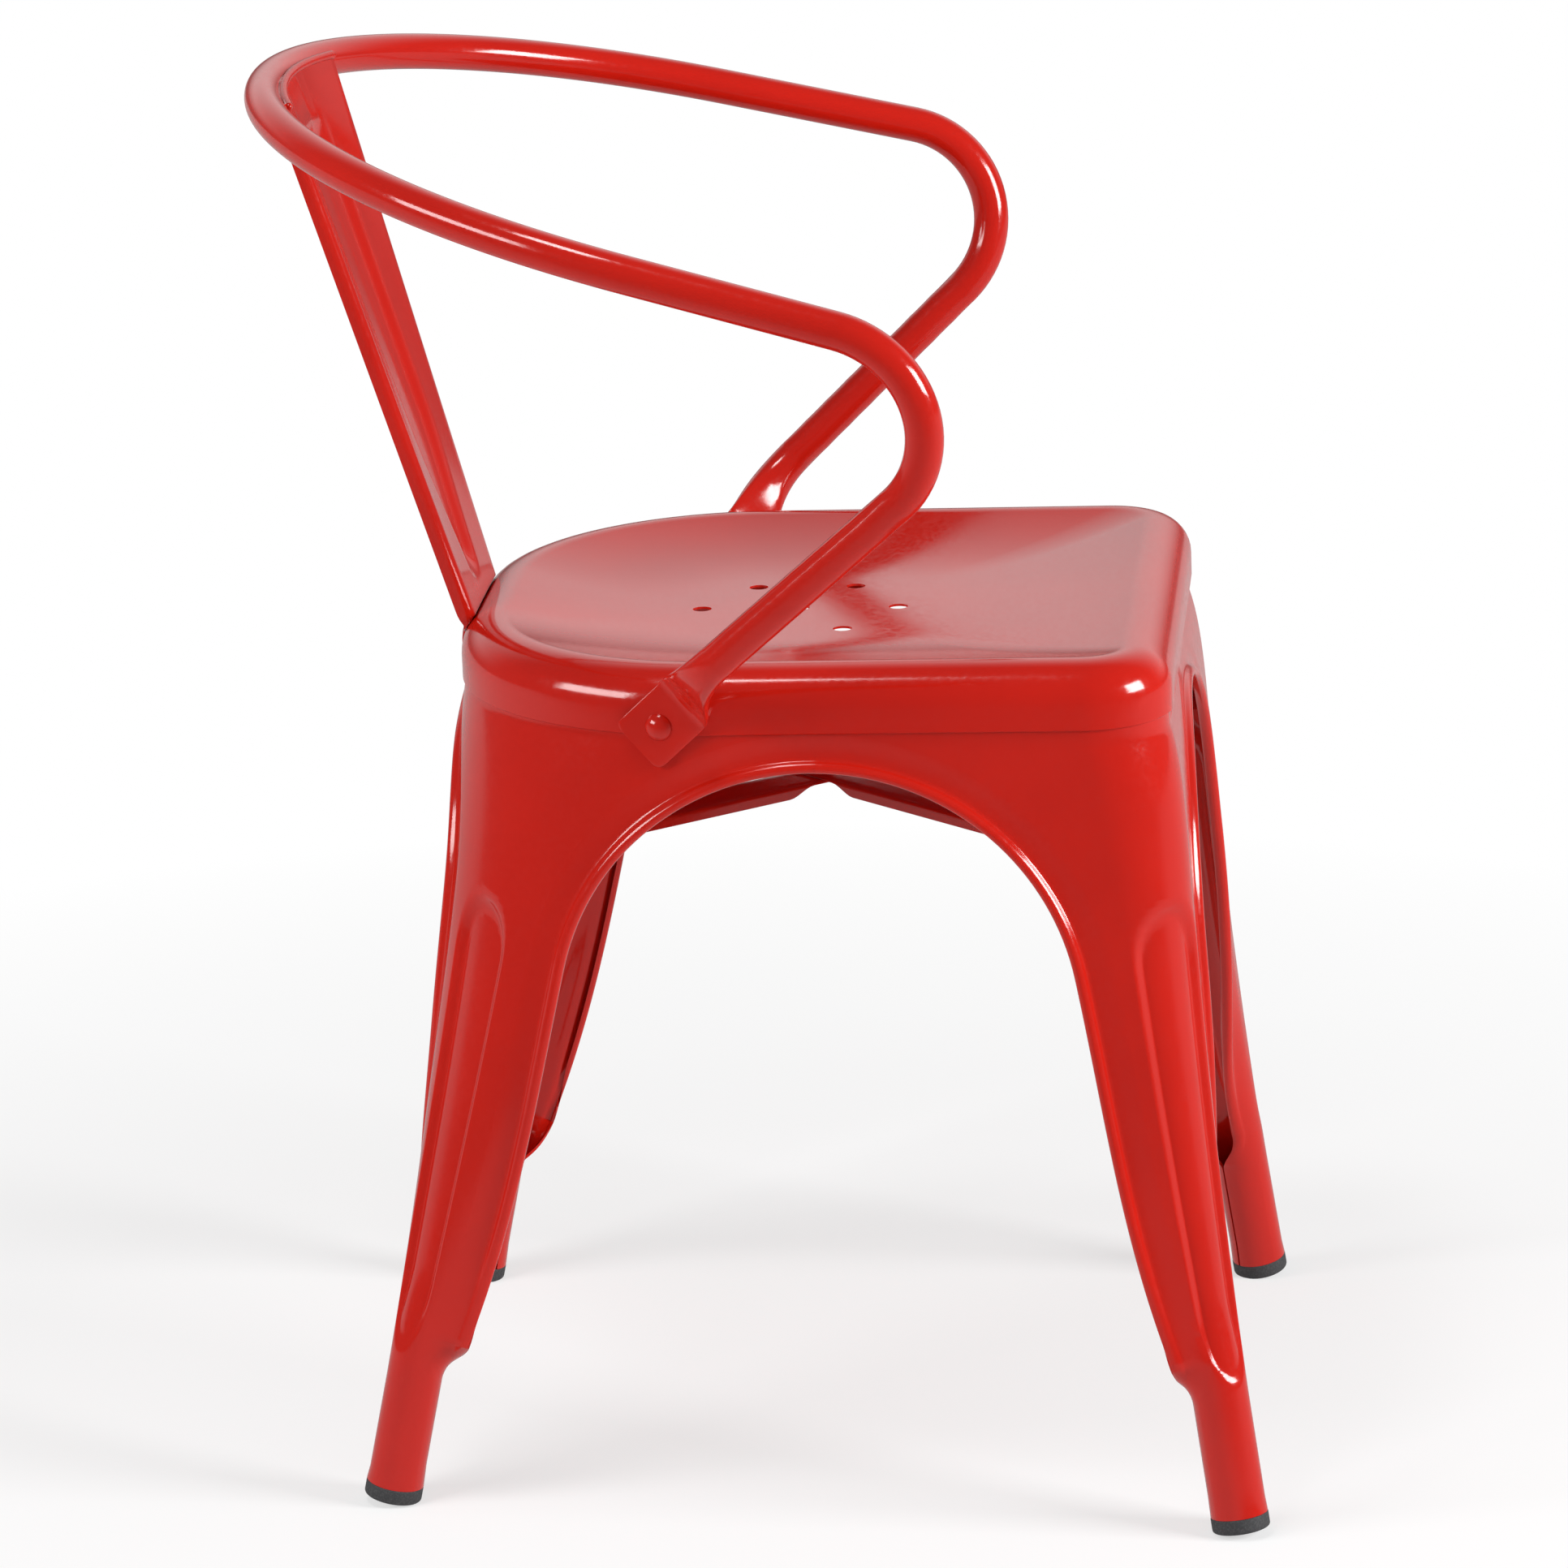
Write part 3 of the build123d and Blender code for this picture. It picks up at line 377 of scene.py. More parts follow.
def moulded_rubber():
    """Carbon-black rubber from a blasted mould: dull, with a fine grain that holds pale dust."""
    found = bpy.data.materials.get("moulded_rubber_black")
    if found:
        return found
    finish = settings("finish")
    grain_size = 0.9 * mm
    material, tree = new_material("moulded_rubber_black")
    place = add_node(tree, "ShaderNodeTexCoord").outputs["Object"]
    grain = add_node(
        tree, "ShaderNodeTexNoise", {"Scale": 1 / grain_size, "Detail": 3.0}, {"Vector": place}
    )
    dust = add_node(
        tree,
        "ShaderNodeMapRange",
        {"From Min": 0.45, "From Max": 0.75},
        {"Value": grain.outputs["Fac"]},
    )
    grey = add_node(
        tree,
        "ShaderNodeMix",
        {"data_type": "RGBA", 6: (*finish.rubber, 1), 7: (*finish.rubber_dust, 1)},
        {0: dust.outputs["Result"]},
    )
    dents = add_node(
        tree, "ShaderNodeBump", {"Strength": 0.35, "Distance": 0.15 * mm}, {"Height": grain.outputs["Fac"]}
    )
    shader = add_node(
        tree,
        "ShaderNodeBsdfPrincipled",
        {"IOR": 1.5, "Roughness": 0.72},
        {"Base Color": grey.outputs[2], "Normal": dents.outputs["Normal"]},
    )
    add_node(tree, "ShaderNodeOutputMaterial", None, {"Surface": shader.outputs["BSDF"]})
    return material


def studio_floor():
    """Matt pale paper, which keeps the chair's shadow. Seen straight it turns to white away from the
    chair, so that it has no horizon. In the gloss it is pale by the chair and dim on the near side."""
    finish, stage = settings("finish"), settings("stage")
    white_from, white_at = 0.45, 1.1
    dim_until, pale_from = -1.5, -0.3
    material, tree = new_material("studio_paper_pale")
    rays = add_node(tree, "ShaderNodeLightPath")
    place = add_node(tree, "ShaderNodeTexCoord").outputs["Object"]
    paper = add_node(tree, "ShaderNodeBsdfDiffuse", {"Color": (*finish.floor, 1)})
    glow = add_node(tree, "ShaderNodeEmission", {"Color": (1, 1, 1, 1), "Strength": 1.0})
    away = add_node(tree, "ShaderNodeVectorMath", {"operation": "LENGTH"}, {0: place})
    share = add_node(
        tree,
        "ShaderNodeMapRange",
        {"From Min": white_from, "From Max": white_at, "To Min": stage.floor_glow, "To Max": 1.0},
        {"Value": away.outputs["Value"]},
    )
    shown = add_node(
        tree,
        "ShaderNodeMixShader",
        None,
        {0: share.outputs["Result"], 1: paper.outputs["BSDF"], 2: glow.outputs["Emission"]},
    )
    across = add_node(tree, "ShaderNodeSeparateXYZ", None, {"Vector": place})
    mirrored = add_node(
        tree,
        "ShaderNodeMapRange",
        {
            "From Min": dim_until,
            "From Max": pale_from,
            "To Min": stage.near_gloss,
            "To Max": stage.floor_gloss,
        },
        {"Value": across.outputs["X"]},
    )
    gloss = add_node(tree, "ShaderNodeEmission", None, {"Strength": mirrored.outputs["Result"]})
    straight_or_lit = add_node(
        tree,
        "ShaderNodeMixShader",
        None,
        {0: rays.outputs["Is Camera Ray"], 1: paper.outputs["BSDF"], 2: shown.outputs["Shader"]},
    )
    surface = add_node(
        tree,
        "ShaderNodeMixShader",
        None,
        {
            0: rays.outputs["Is Glossy Ray"],
            1: straight_or_lit.outputs["Shader"],
            2: gloss.outputs["Emission"],
        },
    )
    add_node(tree, "ShaderNodeOutputMaterial", None, {"Surface": surface.outputs["Shader"]})
    return material


# Modelling helpers

def mix(start, end, share):
    return start + (end - start) * share


def ease(share):
    """A smooth step from 0 to 1."""
    share = min(max(share, 0), 1)
    return share * share * (3 - 2 * share)


def activate(piece):
    """Select one piece alone and make it the active one."""
    bpy.ops.object.select_all(action="DESELECT")
    piece.select_set(True)
    bpy.context.view_layer.objects.active = piece


def shaped_grid(name, columns, rows, place):
    """Add a grid and put each of its crossings where place(column, row) says."""
    bpy.ops.object.select_all(action="DESELECT")
    bpy.ops.mesh.primitive_grid_add(x_subdivisions=columns, y_subdivisions=rows, size=1)
    piece = bpy.context.object
    piece.name = name
    piece.data.name = name
    for vertex in piece.data.vertices:
        column = round((vertex.co.x + 0.5) * columns)
        row = round((vertex.co.y + 0.5) * rows)
        vertex.co = place(column, row)
    return piece


def close_seams(piece, inside):
    """Merge edges that meet, drop faces without area and turn all faces away from a point inside."""
    activate(piece)
    bpy.ops.object.mode_set(mode="EDIT")
    bpy.ops.mesh.select_all(action="SELECT")
    bpy.ops.mesh.remove_doubles(threshold=0.01 * mm)
    bpy.ops.mesh.dissolve_degenerate(threshold=0.005 * mm)
    bpy.ops.mesh.select_all(action="SELECT")
    bpy.ops.mesh.normals_make_consistent(inside=False)
    bpy.ops.object.mode_set(mode="OBJECT")
    facing = sum(face.normal.dot(face.center - inside) * face.area for face in piece.data.polygons)
    if facing < 0:
        turn_over(piece)


def turn_over(piece):
    """Turn every face of a piece round."""
    activate(piece)
    bpy.ops.object.mode_set(mode="EDIT")
    bpy.ops.mesh.select_all(action="SELECT")
    bpy.ops.mesh.flip_normals()
    bpy.ops.object.mode_set(mode="OBJECT")


def apply_modifier(piece, kind, **options):
    """Add a modifier and apply it."""
    activate(piece)
    modifier = piece.modifiers.new(kind.title(), kind)
    for key, value in options.items():
        setattr(modifier, key, value)
    bpy.ops.object.modifier_apply(modifier=modifier.name)


def thicken(piece, sheet):
    """Give a sheet its thickness, inwards from its outer face."""
    apply_modifier(piece, "SOLIDIFY", thickness=sheet, offset=-1)


def mirrored_copy(piece, name):
    """The same piece on the other side of the chair, with a mesh of its own."""
    activate(piece)
    bpy.ops.object.duplicate()
    twin = bpy.context.object
    twin.name = name
    twin.data.name = name
    twin.data.transform(Matrix.Diagonal((-1, 1, 1, 1)))
    turn_over(twin)
    return twin


def settle(piece, node, material, smooth=40):
    """Smooth a finished piece, give it its finish and let it stand for its node."""
    activate(piece)
    bpy.ops.object.shade_smooth_by_angle(angle=radians(smooth))
    piece.data.materials.clear()
    piece.data.materials.append(material)
    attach(piece, "root")
    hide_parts(node)


def turned(name, profile, origin, axis, columns):
    """A round piece from half of its section, given as distances from the axis and along it."""
    axis = axis.normalized()
    across = axis.orthogonal().normalized()
    around = axis.cross(across)

    def place(column, row):
        radius, along = profile[row]
        turn = 2 * pi * column / columns
        return origin + axis * along + (across * cos(turn) + around * sin(turn)) * radius

    piece = shaped_grid(name, columns, len(profile) - 1, place)
    middle = sum(along for _, along in profile) / len(profile)
    close_seams(piece, origin + axis * middle)
    return piece


def rounded(centre, radius, start, end, steps):
    """Points of an arc in a profile, with its ends, between two angles in degrees."""
    points = []
    for step in range(steps + 1):
        turn = radians(mix(start, end, step / steps))
        points.append((centre[0] + radius * cos(turn), centre[1] + radius * sin(turn)))
    return points


# Seat pan

def seat_place(across, along, rise):
    """A point of the tilted seat, from its centre."""
    seat = settings("seat")
    return Vector((
        across,
        seat.centre_y + along * cos(seat.tilt) + rise * sin(seat.tilt),
        seat.crest - along * sin(seat.tilt) + rise * cos(seat.tilt),
    ))


def seat_half_outline(inset):
    """Half the seat's plan from its front to its back, drawn in by an inset."""
    seat = settings("seat")
    side = seat.half_width - inset
    front = seat.front_y - seat.centre_y + inset
    rear = seat.rear_y - seat.centre_y - inset
    front_corner = seat.front_corner - inset
    rear_corner = seat.rear_corner - inset
    front_steps, corner_steps, side_steps, rear_steps, back_steps = 10, 16, 16, 34, 4
    points = [(mix(0, side - front_corner, s / front_steps), front) for s in range(front_steps)]
    points += rounded((side - front_corner, front + front_corner), front_corner, -90, 0, corner_steps)[:-1]
    side_start, side_end = front + front_corner, rear - rear_corner
    points += [(side, mix(side_start, side_end, s / side_steps)) for s in range(side_steps)]
    points += rounded((side - rear_corner, rear - rear_corner), rear_corner, 0, 90, rear_steps)[:-1]
    points += [(mix(side - rear_corner, 0, s / back_steps), rear) for s in range(back_steps + 1)]
    return [Vector(point) for point in points]


def seat_rows():
    """Rows of the pressed sheet from the skirt's hem over the roll into the dish: for each its inset,
    how far it is scaled towards the centre, how round it is there and its height."""
    seat = settings("seat")
    hem = 0.5 * mm
    roll_steps = 10
    dish_reach = 0.62
    hole_scale, nearly_round = 0.1, 0.6
    rows = [
        (hem, 1, 0, -seat.skirt),
        (0, 1, 0, hem - seat.skirt),
        (0, 1, 0, -(seat.skirt + seat.roll) / 2),
    ]
    for step in range(roll_steps + 1):
        turn = radians(90 * step / roll_steps)
        rows.append((seat.roll * (1 - cos(turn)), 1, 0, seat.roll * (sin(turn) - 1)))
    rim_inset = seat.roll + seat.rim
    for scale in (1, 0.985, 0.965, 0.94, 0.9, 0.85, 0.79, 0.73, 0.66, 0.59, 0.52, 0.45, 0.38, 0.3, 0.22):
        share = min((1 - scale) / dish_reach, 1)
        rows.append((rim_inset, scale, 0, -seat.dish * (1 - (1 - share) ** 2)))
    rows.append((rim_inset, hole_scale, nearly_round, -seat.dish))
    rows.append((rim_inset, hole_scale, 1, -seat.dish))
    return rows


def build_seat():
    """The pressed pan with its middle drain hole, then the ring of holes round it."""
    seat = settings("seat")
    rows = seat_rows()
    outlines = [seat_half_outline(inset) for inset, _, _, _ in rows]
    half = len(outlines[0]) - 1

    def place(column, row):
        _, scale, roundness, rise = rows[row]
        other_side = column > half
        point = outlines[row][2 * half - column if other_side else column] * scale
        point = point.lerp(point.normalized() * seat.hole, roundness)
        return seat_place(-point.x if other_side else point.x, point.y, rise)

    piece = shaped_grid("seat_pan_shell", 2 * half, len(rows) - 1, place)
    close_seams(piece, seat_place(0, 0, -seat.crest / 2))
    thicken(piece, seat.sheet)
    punch_drain_holes(piece)
    settle(piece, "seat_pan", powder_coat())


def punch_drain_holes(piece):
    """Cut the ring of drain holes with round punches."""
    seat = settings("seat")
    hole_count = 6
    punches = []
    for number in range(hole_count):
        turn = radians(90) + 2 * pi * number / hole_count
        centre = seat_place(seat.hole_circle * cos(turn), seat.hole_circle * sin(turn), -seat.dish)
        bpy.ops.object.select_all(action="DESELECT")
        bpy.ops.mesh.primitive_cylinder_add(
            vertices=40, radius=seat.hole, depth=2 * seat.dish, location=centre, rotation=(-seat.tilt, 0, 0)
        )
        punches.append(bpy.context.object)
    for punch in punches:
        punch.select_set(True)
    bpy.ops.object.join()
    tool = bpy.context.object
    apply_modifier(piece, "BOOLEAN", operation="DIFFERENCE", solver="EXACT", object=tool)
    bpy.data.objects.remove(tool)


# Legs

@dataclass
class Leg:
    """A corner of the base on the sitter's left: where its walls stand at each height."""

    facing: int
    apron_y: float
    apron_corner: float
    foot: tuple
    flare_power: float
    corner_power: float
    apron_swell: float
    arch_inset: float
    panel: dict

    def side(self, height):
        leg, seat = settings("leg"), settings("seat")
        half = seat.half_width - seat.sheet - leg.gap
        return half + (self.foot[0] + leg.tube - half) * self.flare(height)

    def flare(self, height):
        top = flare_height()
        return (max(top - height, 0) / top) ** self.flare_power

    def end(self, height):
        leg = settings("leg")
        swell = self.facing * self.apron_swell
        swollen = 1 - exp(-max(flare_height() - height, 0) / leg.swell_run)
        spread = self.foot[1] + self.facing * leg.tube - self.apron_y - swell
        return self.apron_y + swell * swollen + spread * self.flare(height)

    def corner(self, height):
        leg = settings("leg")
        rise = (height - leg.tube_top) / (flare_height() - leg.tube_top)
        return leg.tube + (self.apron_corner - leg.tube) * min(max(rise, 0), 1) ** self.corner_power

    def loose_centre(self, height):
        radius = self.corner(height)
        return Vector((self.side(height) - radius, self.end(height) - self.facing * radius))

    def centre(self, height):
        """Centre of the corner, which is the middle of the straight tube lower down."""
        top = settings("leg").tube_top
        if height >= top:
            return self.loose_centre(height)
        return self.loose_centre(0).lerp(self.loose_centre(top), height / top)

    def axis(self):
        top = settings("leg").tube_top
        run = self.centre(top) - self.centre(0)
        return Vector((run.x, run.y, top)).normalized()

    def foot_point(self, height):
        return Vector((*self.centre(height), height))

    def cap_foot(self):
        """Height of the middle of the cap's underside, whose low edge is worn flat on the floor."""
        cap = settings("cap")
        lean = self.axis().angle(Vector((0, 0, 1)))
        return (cap.radius - cap.rounding) * sin(lean) + cap.rounding * (1 - cos(lean)) - cap.flat

    def cap_seat(self):
        lean = self.axis().angle(Vector((0, 0, 1)))
        return self.cap_foot() + settings("cap").height * cos(lean)

    def wall_length(self, wall, height):
        """From the middle of the chair's side or end to the start of the leg's corner."""
        centre = self.centre(height)
        if wall == "side":
            return (centre.y - settings("leg").split_y) * self.facing
        return centre.x

    def from_corner(self, wall, out, height):
        """Distance along the sheet from the middle of its corner, positive towards the chair's side, of
        a point that lies out from the middle of a wall."""
        distance = self.corner(height) * pi / 4 + self.wall_length(wall, height) - out
        return distance if wall == "side" else -distance

    def sheet_point(self, away, height, curl, offset):
        """A point at a distance from the middle of the corner along the sheet, whose walls may curl
        towards a tube. The offset stands out from the sheet's outer face."""
        radius = self.corner(height)
        centre = self.centre(height)
        offset -= self.panel_depth(away, height)
        turn = pi / 4 - away / radius
        past = abs(away) - radius * pi / 4
        if past > 0:
            turn = 0 if away > 0 else pi / 2
        out = Vector((cos(turn), self.facing * sin(turn)))
        if past <= 0:
            return Vector((*(centre + out * (radius + offset)), height))
        along = Vector((0, -self.facing)) if away > 0 else Vector((-1, 0))
        bent = past * curl / radius
        if bent < 1e-6:
            return Vector((*(centre + out * (radius + offset) + along * past), height))
        bend = radius / curl
        normal = out * cos(bent) + along * sin(bent)
        return Vector((*(centre + out * (radius - bend) + normal * (bend + offset)), height))

    def panel_depth(self, away, height):
        """How deep the pressed panel on the outer corner is at a point."""
        leg = settings("leg")
        top, tip = self.panel["top"], self.panel["tip"]
        if not tip < height < top:
            return 0
        head_height, tail_height, ramp_height = 32.0 * mm, 34.0 * mm, 45.0 * mm
        narrow_fall = 0.88
        low_wall, low_depth, tip_depth = 0.45, 0.85, 0.35
        fall = (top - height) / (top - tip)
        from_middle = away + self.panel["shift"] * (1 - fall)
        half = mix(self.panel["head"], self.panel["tail"], min(fall / narrow_fall, 1))
        past_end = max(1 - (top - height) / head_height, 1 - (height - tip) / tail_height, 0)
        inside = 1 - sqrt((from_middle / half) ** 2 + past_end**2)
        inward = inside * half / (leg.panel_wall * mix(1, low_wall, fall))
        ramp = mix(tip_depth, 1, ease((height - tip) / ramp_height))
        return leg.panel_depth * ease(inward) * ramp * mix(1, low_depth, fall)


def rear_crest_height():
    """Height of the rim at the rear of the tilted seat."""
    seat = settings("seat")
    return seat.crest - (seat.rear_y - seat.centre_y) * tan(seat.tilt)


def flare_height():
    """Height where the legs start to spread, just below the rear of the skirt."""
    below_skirt = 0.5 * mm
    return rear_crest_height() - settings("seat").skirt - below_skirt


def both_legs():
    """The front and the rear leg on the sitter's left."""
    seat, leg = settings("seat"), settings("leg")
    drift = seat.skirt * sin(seat.tilt)
    tuck = seat.sheet + leg.gap
    made = {}
    for place, name in enumerate(("front", "rear")):
        facing = (-1, 1)[place]
        skirt_y = (seat.front_y, seat.rear_y)[place]
        made[name] = Leg(
            facing=facing,
            apron_y=skirt_y - drift - facing * tuck,
            apron_corner=(seat.front_corner, seat.rear_corner)[place] - tuck,
            foot=tuple((leg.foot_front, leg.foot_rear)[place]),
            flare_power=leg.flare[place],
            corner_power=leg.rounding[place],
            apron_swell=leg.swell[place],
            arch_inset=leg.inset[place],
            panel={
                "top": leg.panel_top[place],
                "tip": leg.panel_tip[place],
                "head": leg.panel_head[place],
                "tail": leg.panel_tail[place],
                "shift": leg.panel_shift[place],
            },
        )
    return made


def arch_edge(corner, wall, crown_steps, leg_steps):
    """Half of the arch beside a leg, from its top down to where its rolled edge runs out: points
    from the middle of the wall, each with its direction into the sheet."""
    leg, seat = settings("leg"), settings("seat")
    spans = {}
    for name, inset in (("side", corner.arch_inset), ("end", leg.end_inset)):
        spans[name] = corner.wall_length(name, leg.tube_top) - leg.tube - inset
    span = spans[wall]
    radius = leg.crown if wall == "side" else leg.crown * span / spans["side"]
    apex = seat.crest - seat.skirt - leg.apron
    middle = Vector((0, apex - radius))
    edge = []
    for step in range(crown_steps + 1):
        turn = mix(pi / 2, leg.crown_lean, step / crown_steps)
        inward = Vector((cos(turn), sin(turn)))
        edge.append((middle + inward * radius, inward))
    shoulder = edge[-1][0]
    foot = Vector((span, leg.tube_top))
    reach = leg.pull * (foot - shoulder).length
    handles = (
        shoulder,
        shoulder + Vector((sin(leg.crown_lean), -cos(leg.crown_lean))) * reach,
        foot - Vector((sin(leg.foot_lean), -cos(leg.foot_lean))) * reach,
        foot,
    )
    last = 1.0
    nudge = 0.001
    while bezier(handles, last).y < leg.flange_end:
        last -= 2 * nudge
    for step in range(1, leg_steps + 1):
        share = last * step / leg_steps
        ahead = bezier(handles, share + nudge) - bezier(handles, share - nudge)
        inward = Vector((-ahead.y, ahead.x)).normalized()
        edge.append((bezier(handles, share), inward))
    return edge


def bezier(handles, share):
    """A point of a cubic curve."""
    rest = 1 - share
    start, start_pull, end_pull, end = handles
    first_half = start * rest**3 + start_pull * 3 * rest**2 * share
    return first_half + end_pull * 3 * rest * share**2 + end * share**3


# Section of the arch's rolled edge: distance from the edge and height over the sheet's outer face,
# from the hem inside over the bead to the shallow groove beside it
ROLLED_EDGE = [
    (3.0 * mm, -3.4 * mm),
    (1.5 * mm, -3.3 * mm),
    (0.5 * mm, -2.6 * mm),
    (0.0 * mm, -1.2 * mm),
    (0.0 * mm, 0.2 * mm),
    (0.35 * mm, 1.6 * mm),
    (1.1 * mm, 2.6 * mm),
    (2.3 * mm, 3.1 * mm),
    (3.6 * mm, 3.0 * mm),
    (4.8 * mm, 2.3 * mm),
    (5.7 * mm, 1.2 * mm),
    (6.3 * mm, 0.1 * mm),
    (7.0 * mm, -0.45 * mm),
    (8.5 * mm, -0.7 * mm),
    (12.0 * mm, -0.7 * mm),
    (16.0 * mm, -0.35 * mm),
    (20.0 * mm, 0.0 * mm),
]


def leg_rows(corner):
    """Rows of a leg's sheet from the apron's top to the cap. Each has the height of its corner, its
    curl, how much of the rolled edge it has, and for each wall its edge and the way into the sheet."""
    leg, seat = settings("leg"), settings("seat")
    apron_steps, crown_steps, leg_steps, curl_steps, tube_steps = 5, 34, 66, 16, 6
    corner_lead = 10.0 * mm
    tuck_steps = 12
    low_hem, hem_haste = 0.3, 1.3
    reach_delay = 1.5
    walls = ("side", "end")
    apron_top = seat.crest - seat.skirt + leg.overlap
    edges = {wall: arch_edge(corner, wall, crown_steps, leg_steps) for wall in walls}
    band_top = edges["side"][0][0].y + ROLLED_EDGE[-1][0]
    rows = []
    for step in range(apron_steps):
        height = mix(apron_top, band_top, step / apron_steps)
        plain = (Vector((0, height)), Vector((0, 0)))
        rows.append({"height": height, "curl": 0, "hem": 0, "tuck": 0, "side": plain, "end": plain})
    arch_steps = crown_steps + leg_steps
    for step in range(arch_steps + 1):
        height = mix(band_top, leg.flange_end + corner_lead, step / arch_steps)
        left = (arch_steps - step) / tuck_steps
        row = {"height": height, "curl": 0, "hem": mix(low_hem, 1, ease(left / 2)), "tuck": ease(left)}
        row.update({wall: edges[wall][step] for wall in walls})
        rows.append(row)
    closed = leg.tube * 3 * pi / 4 - leg.seam / 2
    for step in range(1, curl_steps + tube_steps + 1):
        share = min(step / curl_steps, 1)
        sunk = max(step - curl_steps, 0) / tube_steps
        edge_height = mix(mix(leg.flange_end, leg.curl_end, share), corner.cap_seat(), sunk)
        height = mix(mix(leg.flange_end + corner_lead, leg.curl_end, share), corner.cap_seat(), sunk)
        hem = low_hem * (1 - ease(share * hem_haste))
        row = {"height": height, "curl": sqrt(ease(share)), "hem": hem, "tuck": 0}
        for wall in walls:
            last, inward = edges[wall][-1]
            open_reach = corner.wall_length(wall, leg.flange_end) - last.x
            reach = mix(open_reach, closed, ease(share) ** reach_delay)
            edge = Vector((corner.wall_length(wall, edge_height) - reach, edge_height))
            row[wall] = (edge, inward.lerp(Vector((1, 0)), ease(share)))
        rows.append(row)
    return rows


def build_leg(name, corner):
    """One leg: a wall on the chair's side, a rounded corner and a wall on its front or rear."""
    leg = settings("leg")
    rows = leg_rows(corner)
    band = len(ROLLED_EDGE)
    plain_columns = 56
    half = band + plain_columns
    axis = corner.axis()
    cap_seat = corner.foot_point(corner.cap_seat())
    hem_columns, hem_step = 3, 0.3 * mm
    roll_run, roll_power = leg.end_roll_top - leg.flange_end, 1.8
    under_seat = Vector((0, leg.split_y, 0.3))

    def place(column, row_number):
        row = rows[row_number]
        wall = "side" if column <= half else "end"
        column = min(column, 2 * half - column)
        edge, inward = row[wall]
        if column < band:
            distance, offset = ROLLED_EDGE[column]
            if column < hem_columns:
                distance = mix((column - hem_columns) * hem_step, distance, row["tuck"])
                offset = mix(ROLLED_EDGE[hem_columns][1], offset, row["tuck"])
            offset *= row["hem"]
            out, height = edge + inward * distance
            away = corner.from_corner(wall, out, height)
        else:
            share = (column - band + 1) / (half - band + 1)
            out, height = edge + inward * ROLLED_EDGE[-1][0]
            away = mix(corner.from_corner(wall, out, height), 0, share)
            height = mix(height, row["height"], share)
            offset = 0
        curl = row["curl"]
        if wall == "end":
            below = min(max((leg.end_roll_top - height) / roll_run, 0), 1)
            curl = max(curl, leg.end_roll * below**roll_power)
        point = corner.sheet_point(away, height, curl, offset)
        if row_number == len(rows) - 1:
            point.z -= (point - cap_seat).dot(axis) / axis.z
        return point

    piece = shaped_grid(name, 2 * half, len(rows) - 1, place)
    drop_faces(piece, lambda face: flat_on(piece, face, 0, 0) or flat_on(piece, face, 1, leg.split_y))
    close_seams(piece, under_seat)
    thicken(piece, leg.sheet)
    return piece


def flat_on(piece, face, axis, place):
    """Whether all corners of a face lie on a plane across an axis."""
    return all(abs(piece.data.vertices[v].co[axis] - place) < 0.01 * mm for v in face.vertices)


def drop_faces(piece, unwanted):
    """Delete the faces that a test picks out."""
    activate(piece)
    bpy.ops.object.mode_set(mode="EDIT")
    bpy.ops.mesh.select_mode(type="FACE")
    bpy.ops.mesh.select_all(action="DESELECT")
    bpy.ops.object.mode_set(mode="OBJECT")
    for face in piece.data.polygons:
        face.select = unwanted(face)
    bpy.ops.object.mode_set(mode="EDIT")
    bpy.ops.mesh.delete(type="FACE")
    bpy.ops.mesh.select_mode(type="VERT")
    bpy.ops.object.mode_set(mode="OBJECT")


def build_legs():
    """Both legs on the sitter's left and their twins on the right."""
    for name, corner in both_legs().items():
        left = build_leg(f"leg_{name}_left_shell", corner)
        right = mirrored_copy(left, f"leg_{name}_right_shell")
        settle(left, f"leg_{name}_left", powder_coat())
        settle(right, f"leg_{name}_right", powder_coat())


# Foot caps

def build_caps():
    """Rubber caps with a plug, their low edge worn flat on the floor."""
    cap, leg = settings("cap"), settings("leg")
    lip = 0.8 * mm
    for name, corner in both_legs().items():
        plug = (leg.tube - leg.sheet) * corner.axis().z - cap.clearance
        profile = [(0, 0), (0.5 * cap.radius, 0)]
        profile += rounded((cap.radius - cap.rounding, cap.rounding), cap.rounding, -90, 0, 6)
        profile += [(cap.radius, 0.5 * cap.height)]
        profile += rounded((cap.radius - lip, cap.height - lip), lip, 0, 90, 4)
        profile += [(plug, cap.height), (plug, cap.height + cap.plug - lip)]
        profile += [(plug - lip, cap.height + cap.plug), (0, cap.height + cap.plug)]
        foot = corner.foot_point(corner.cap_foot())
        left = turned(f"foot_cap_{name}_left_rubber", profile, foot, corner.axis(), 64)
        for vertex in left.data.vertices:
            vertex.co.z = max(vertex.co.z, 0)
        right = mirrored_copy(left, f"foot_cap_{name}_right_rubber")
        settle(left, f"foot_cap_{name}_left", moulded_rubber())
        settle(right, f"foot_cap_{name}_right", moulded_rubber())


# Arm rail

def rail_normal():
    """The way up from the sloping plane of the arms."""
    slope = settings("rail").slope
    return Vector((0, -sin(slope), cos(slope)))


def rail_plane_point(across, along):
    """A point of the sloping plane that holds the back and the arms."""
    rail = settings("rail")
    return Vector((across, along * cos(rail.slope), rail.height + along * sin(rail.slope)))


def arc_centre_along():
    """Place of the centre of the back's arc along the sloping plane."""
    rail = settings("rail")
    return rail.back_y / cos(rail.slope) - rail.back_radius


def back_point(turn, radius):
    """A point of the back's arc. The turn is measured from across the chair."""
    return rail_plane_point(radius * cos(turn), arc_centre_along() + radius * sin(turn))


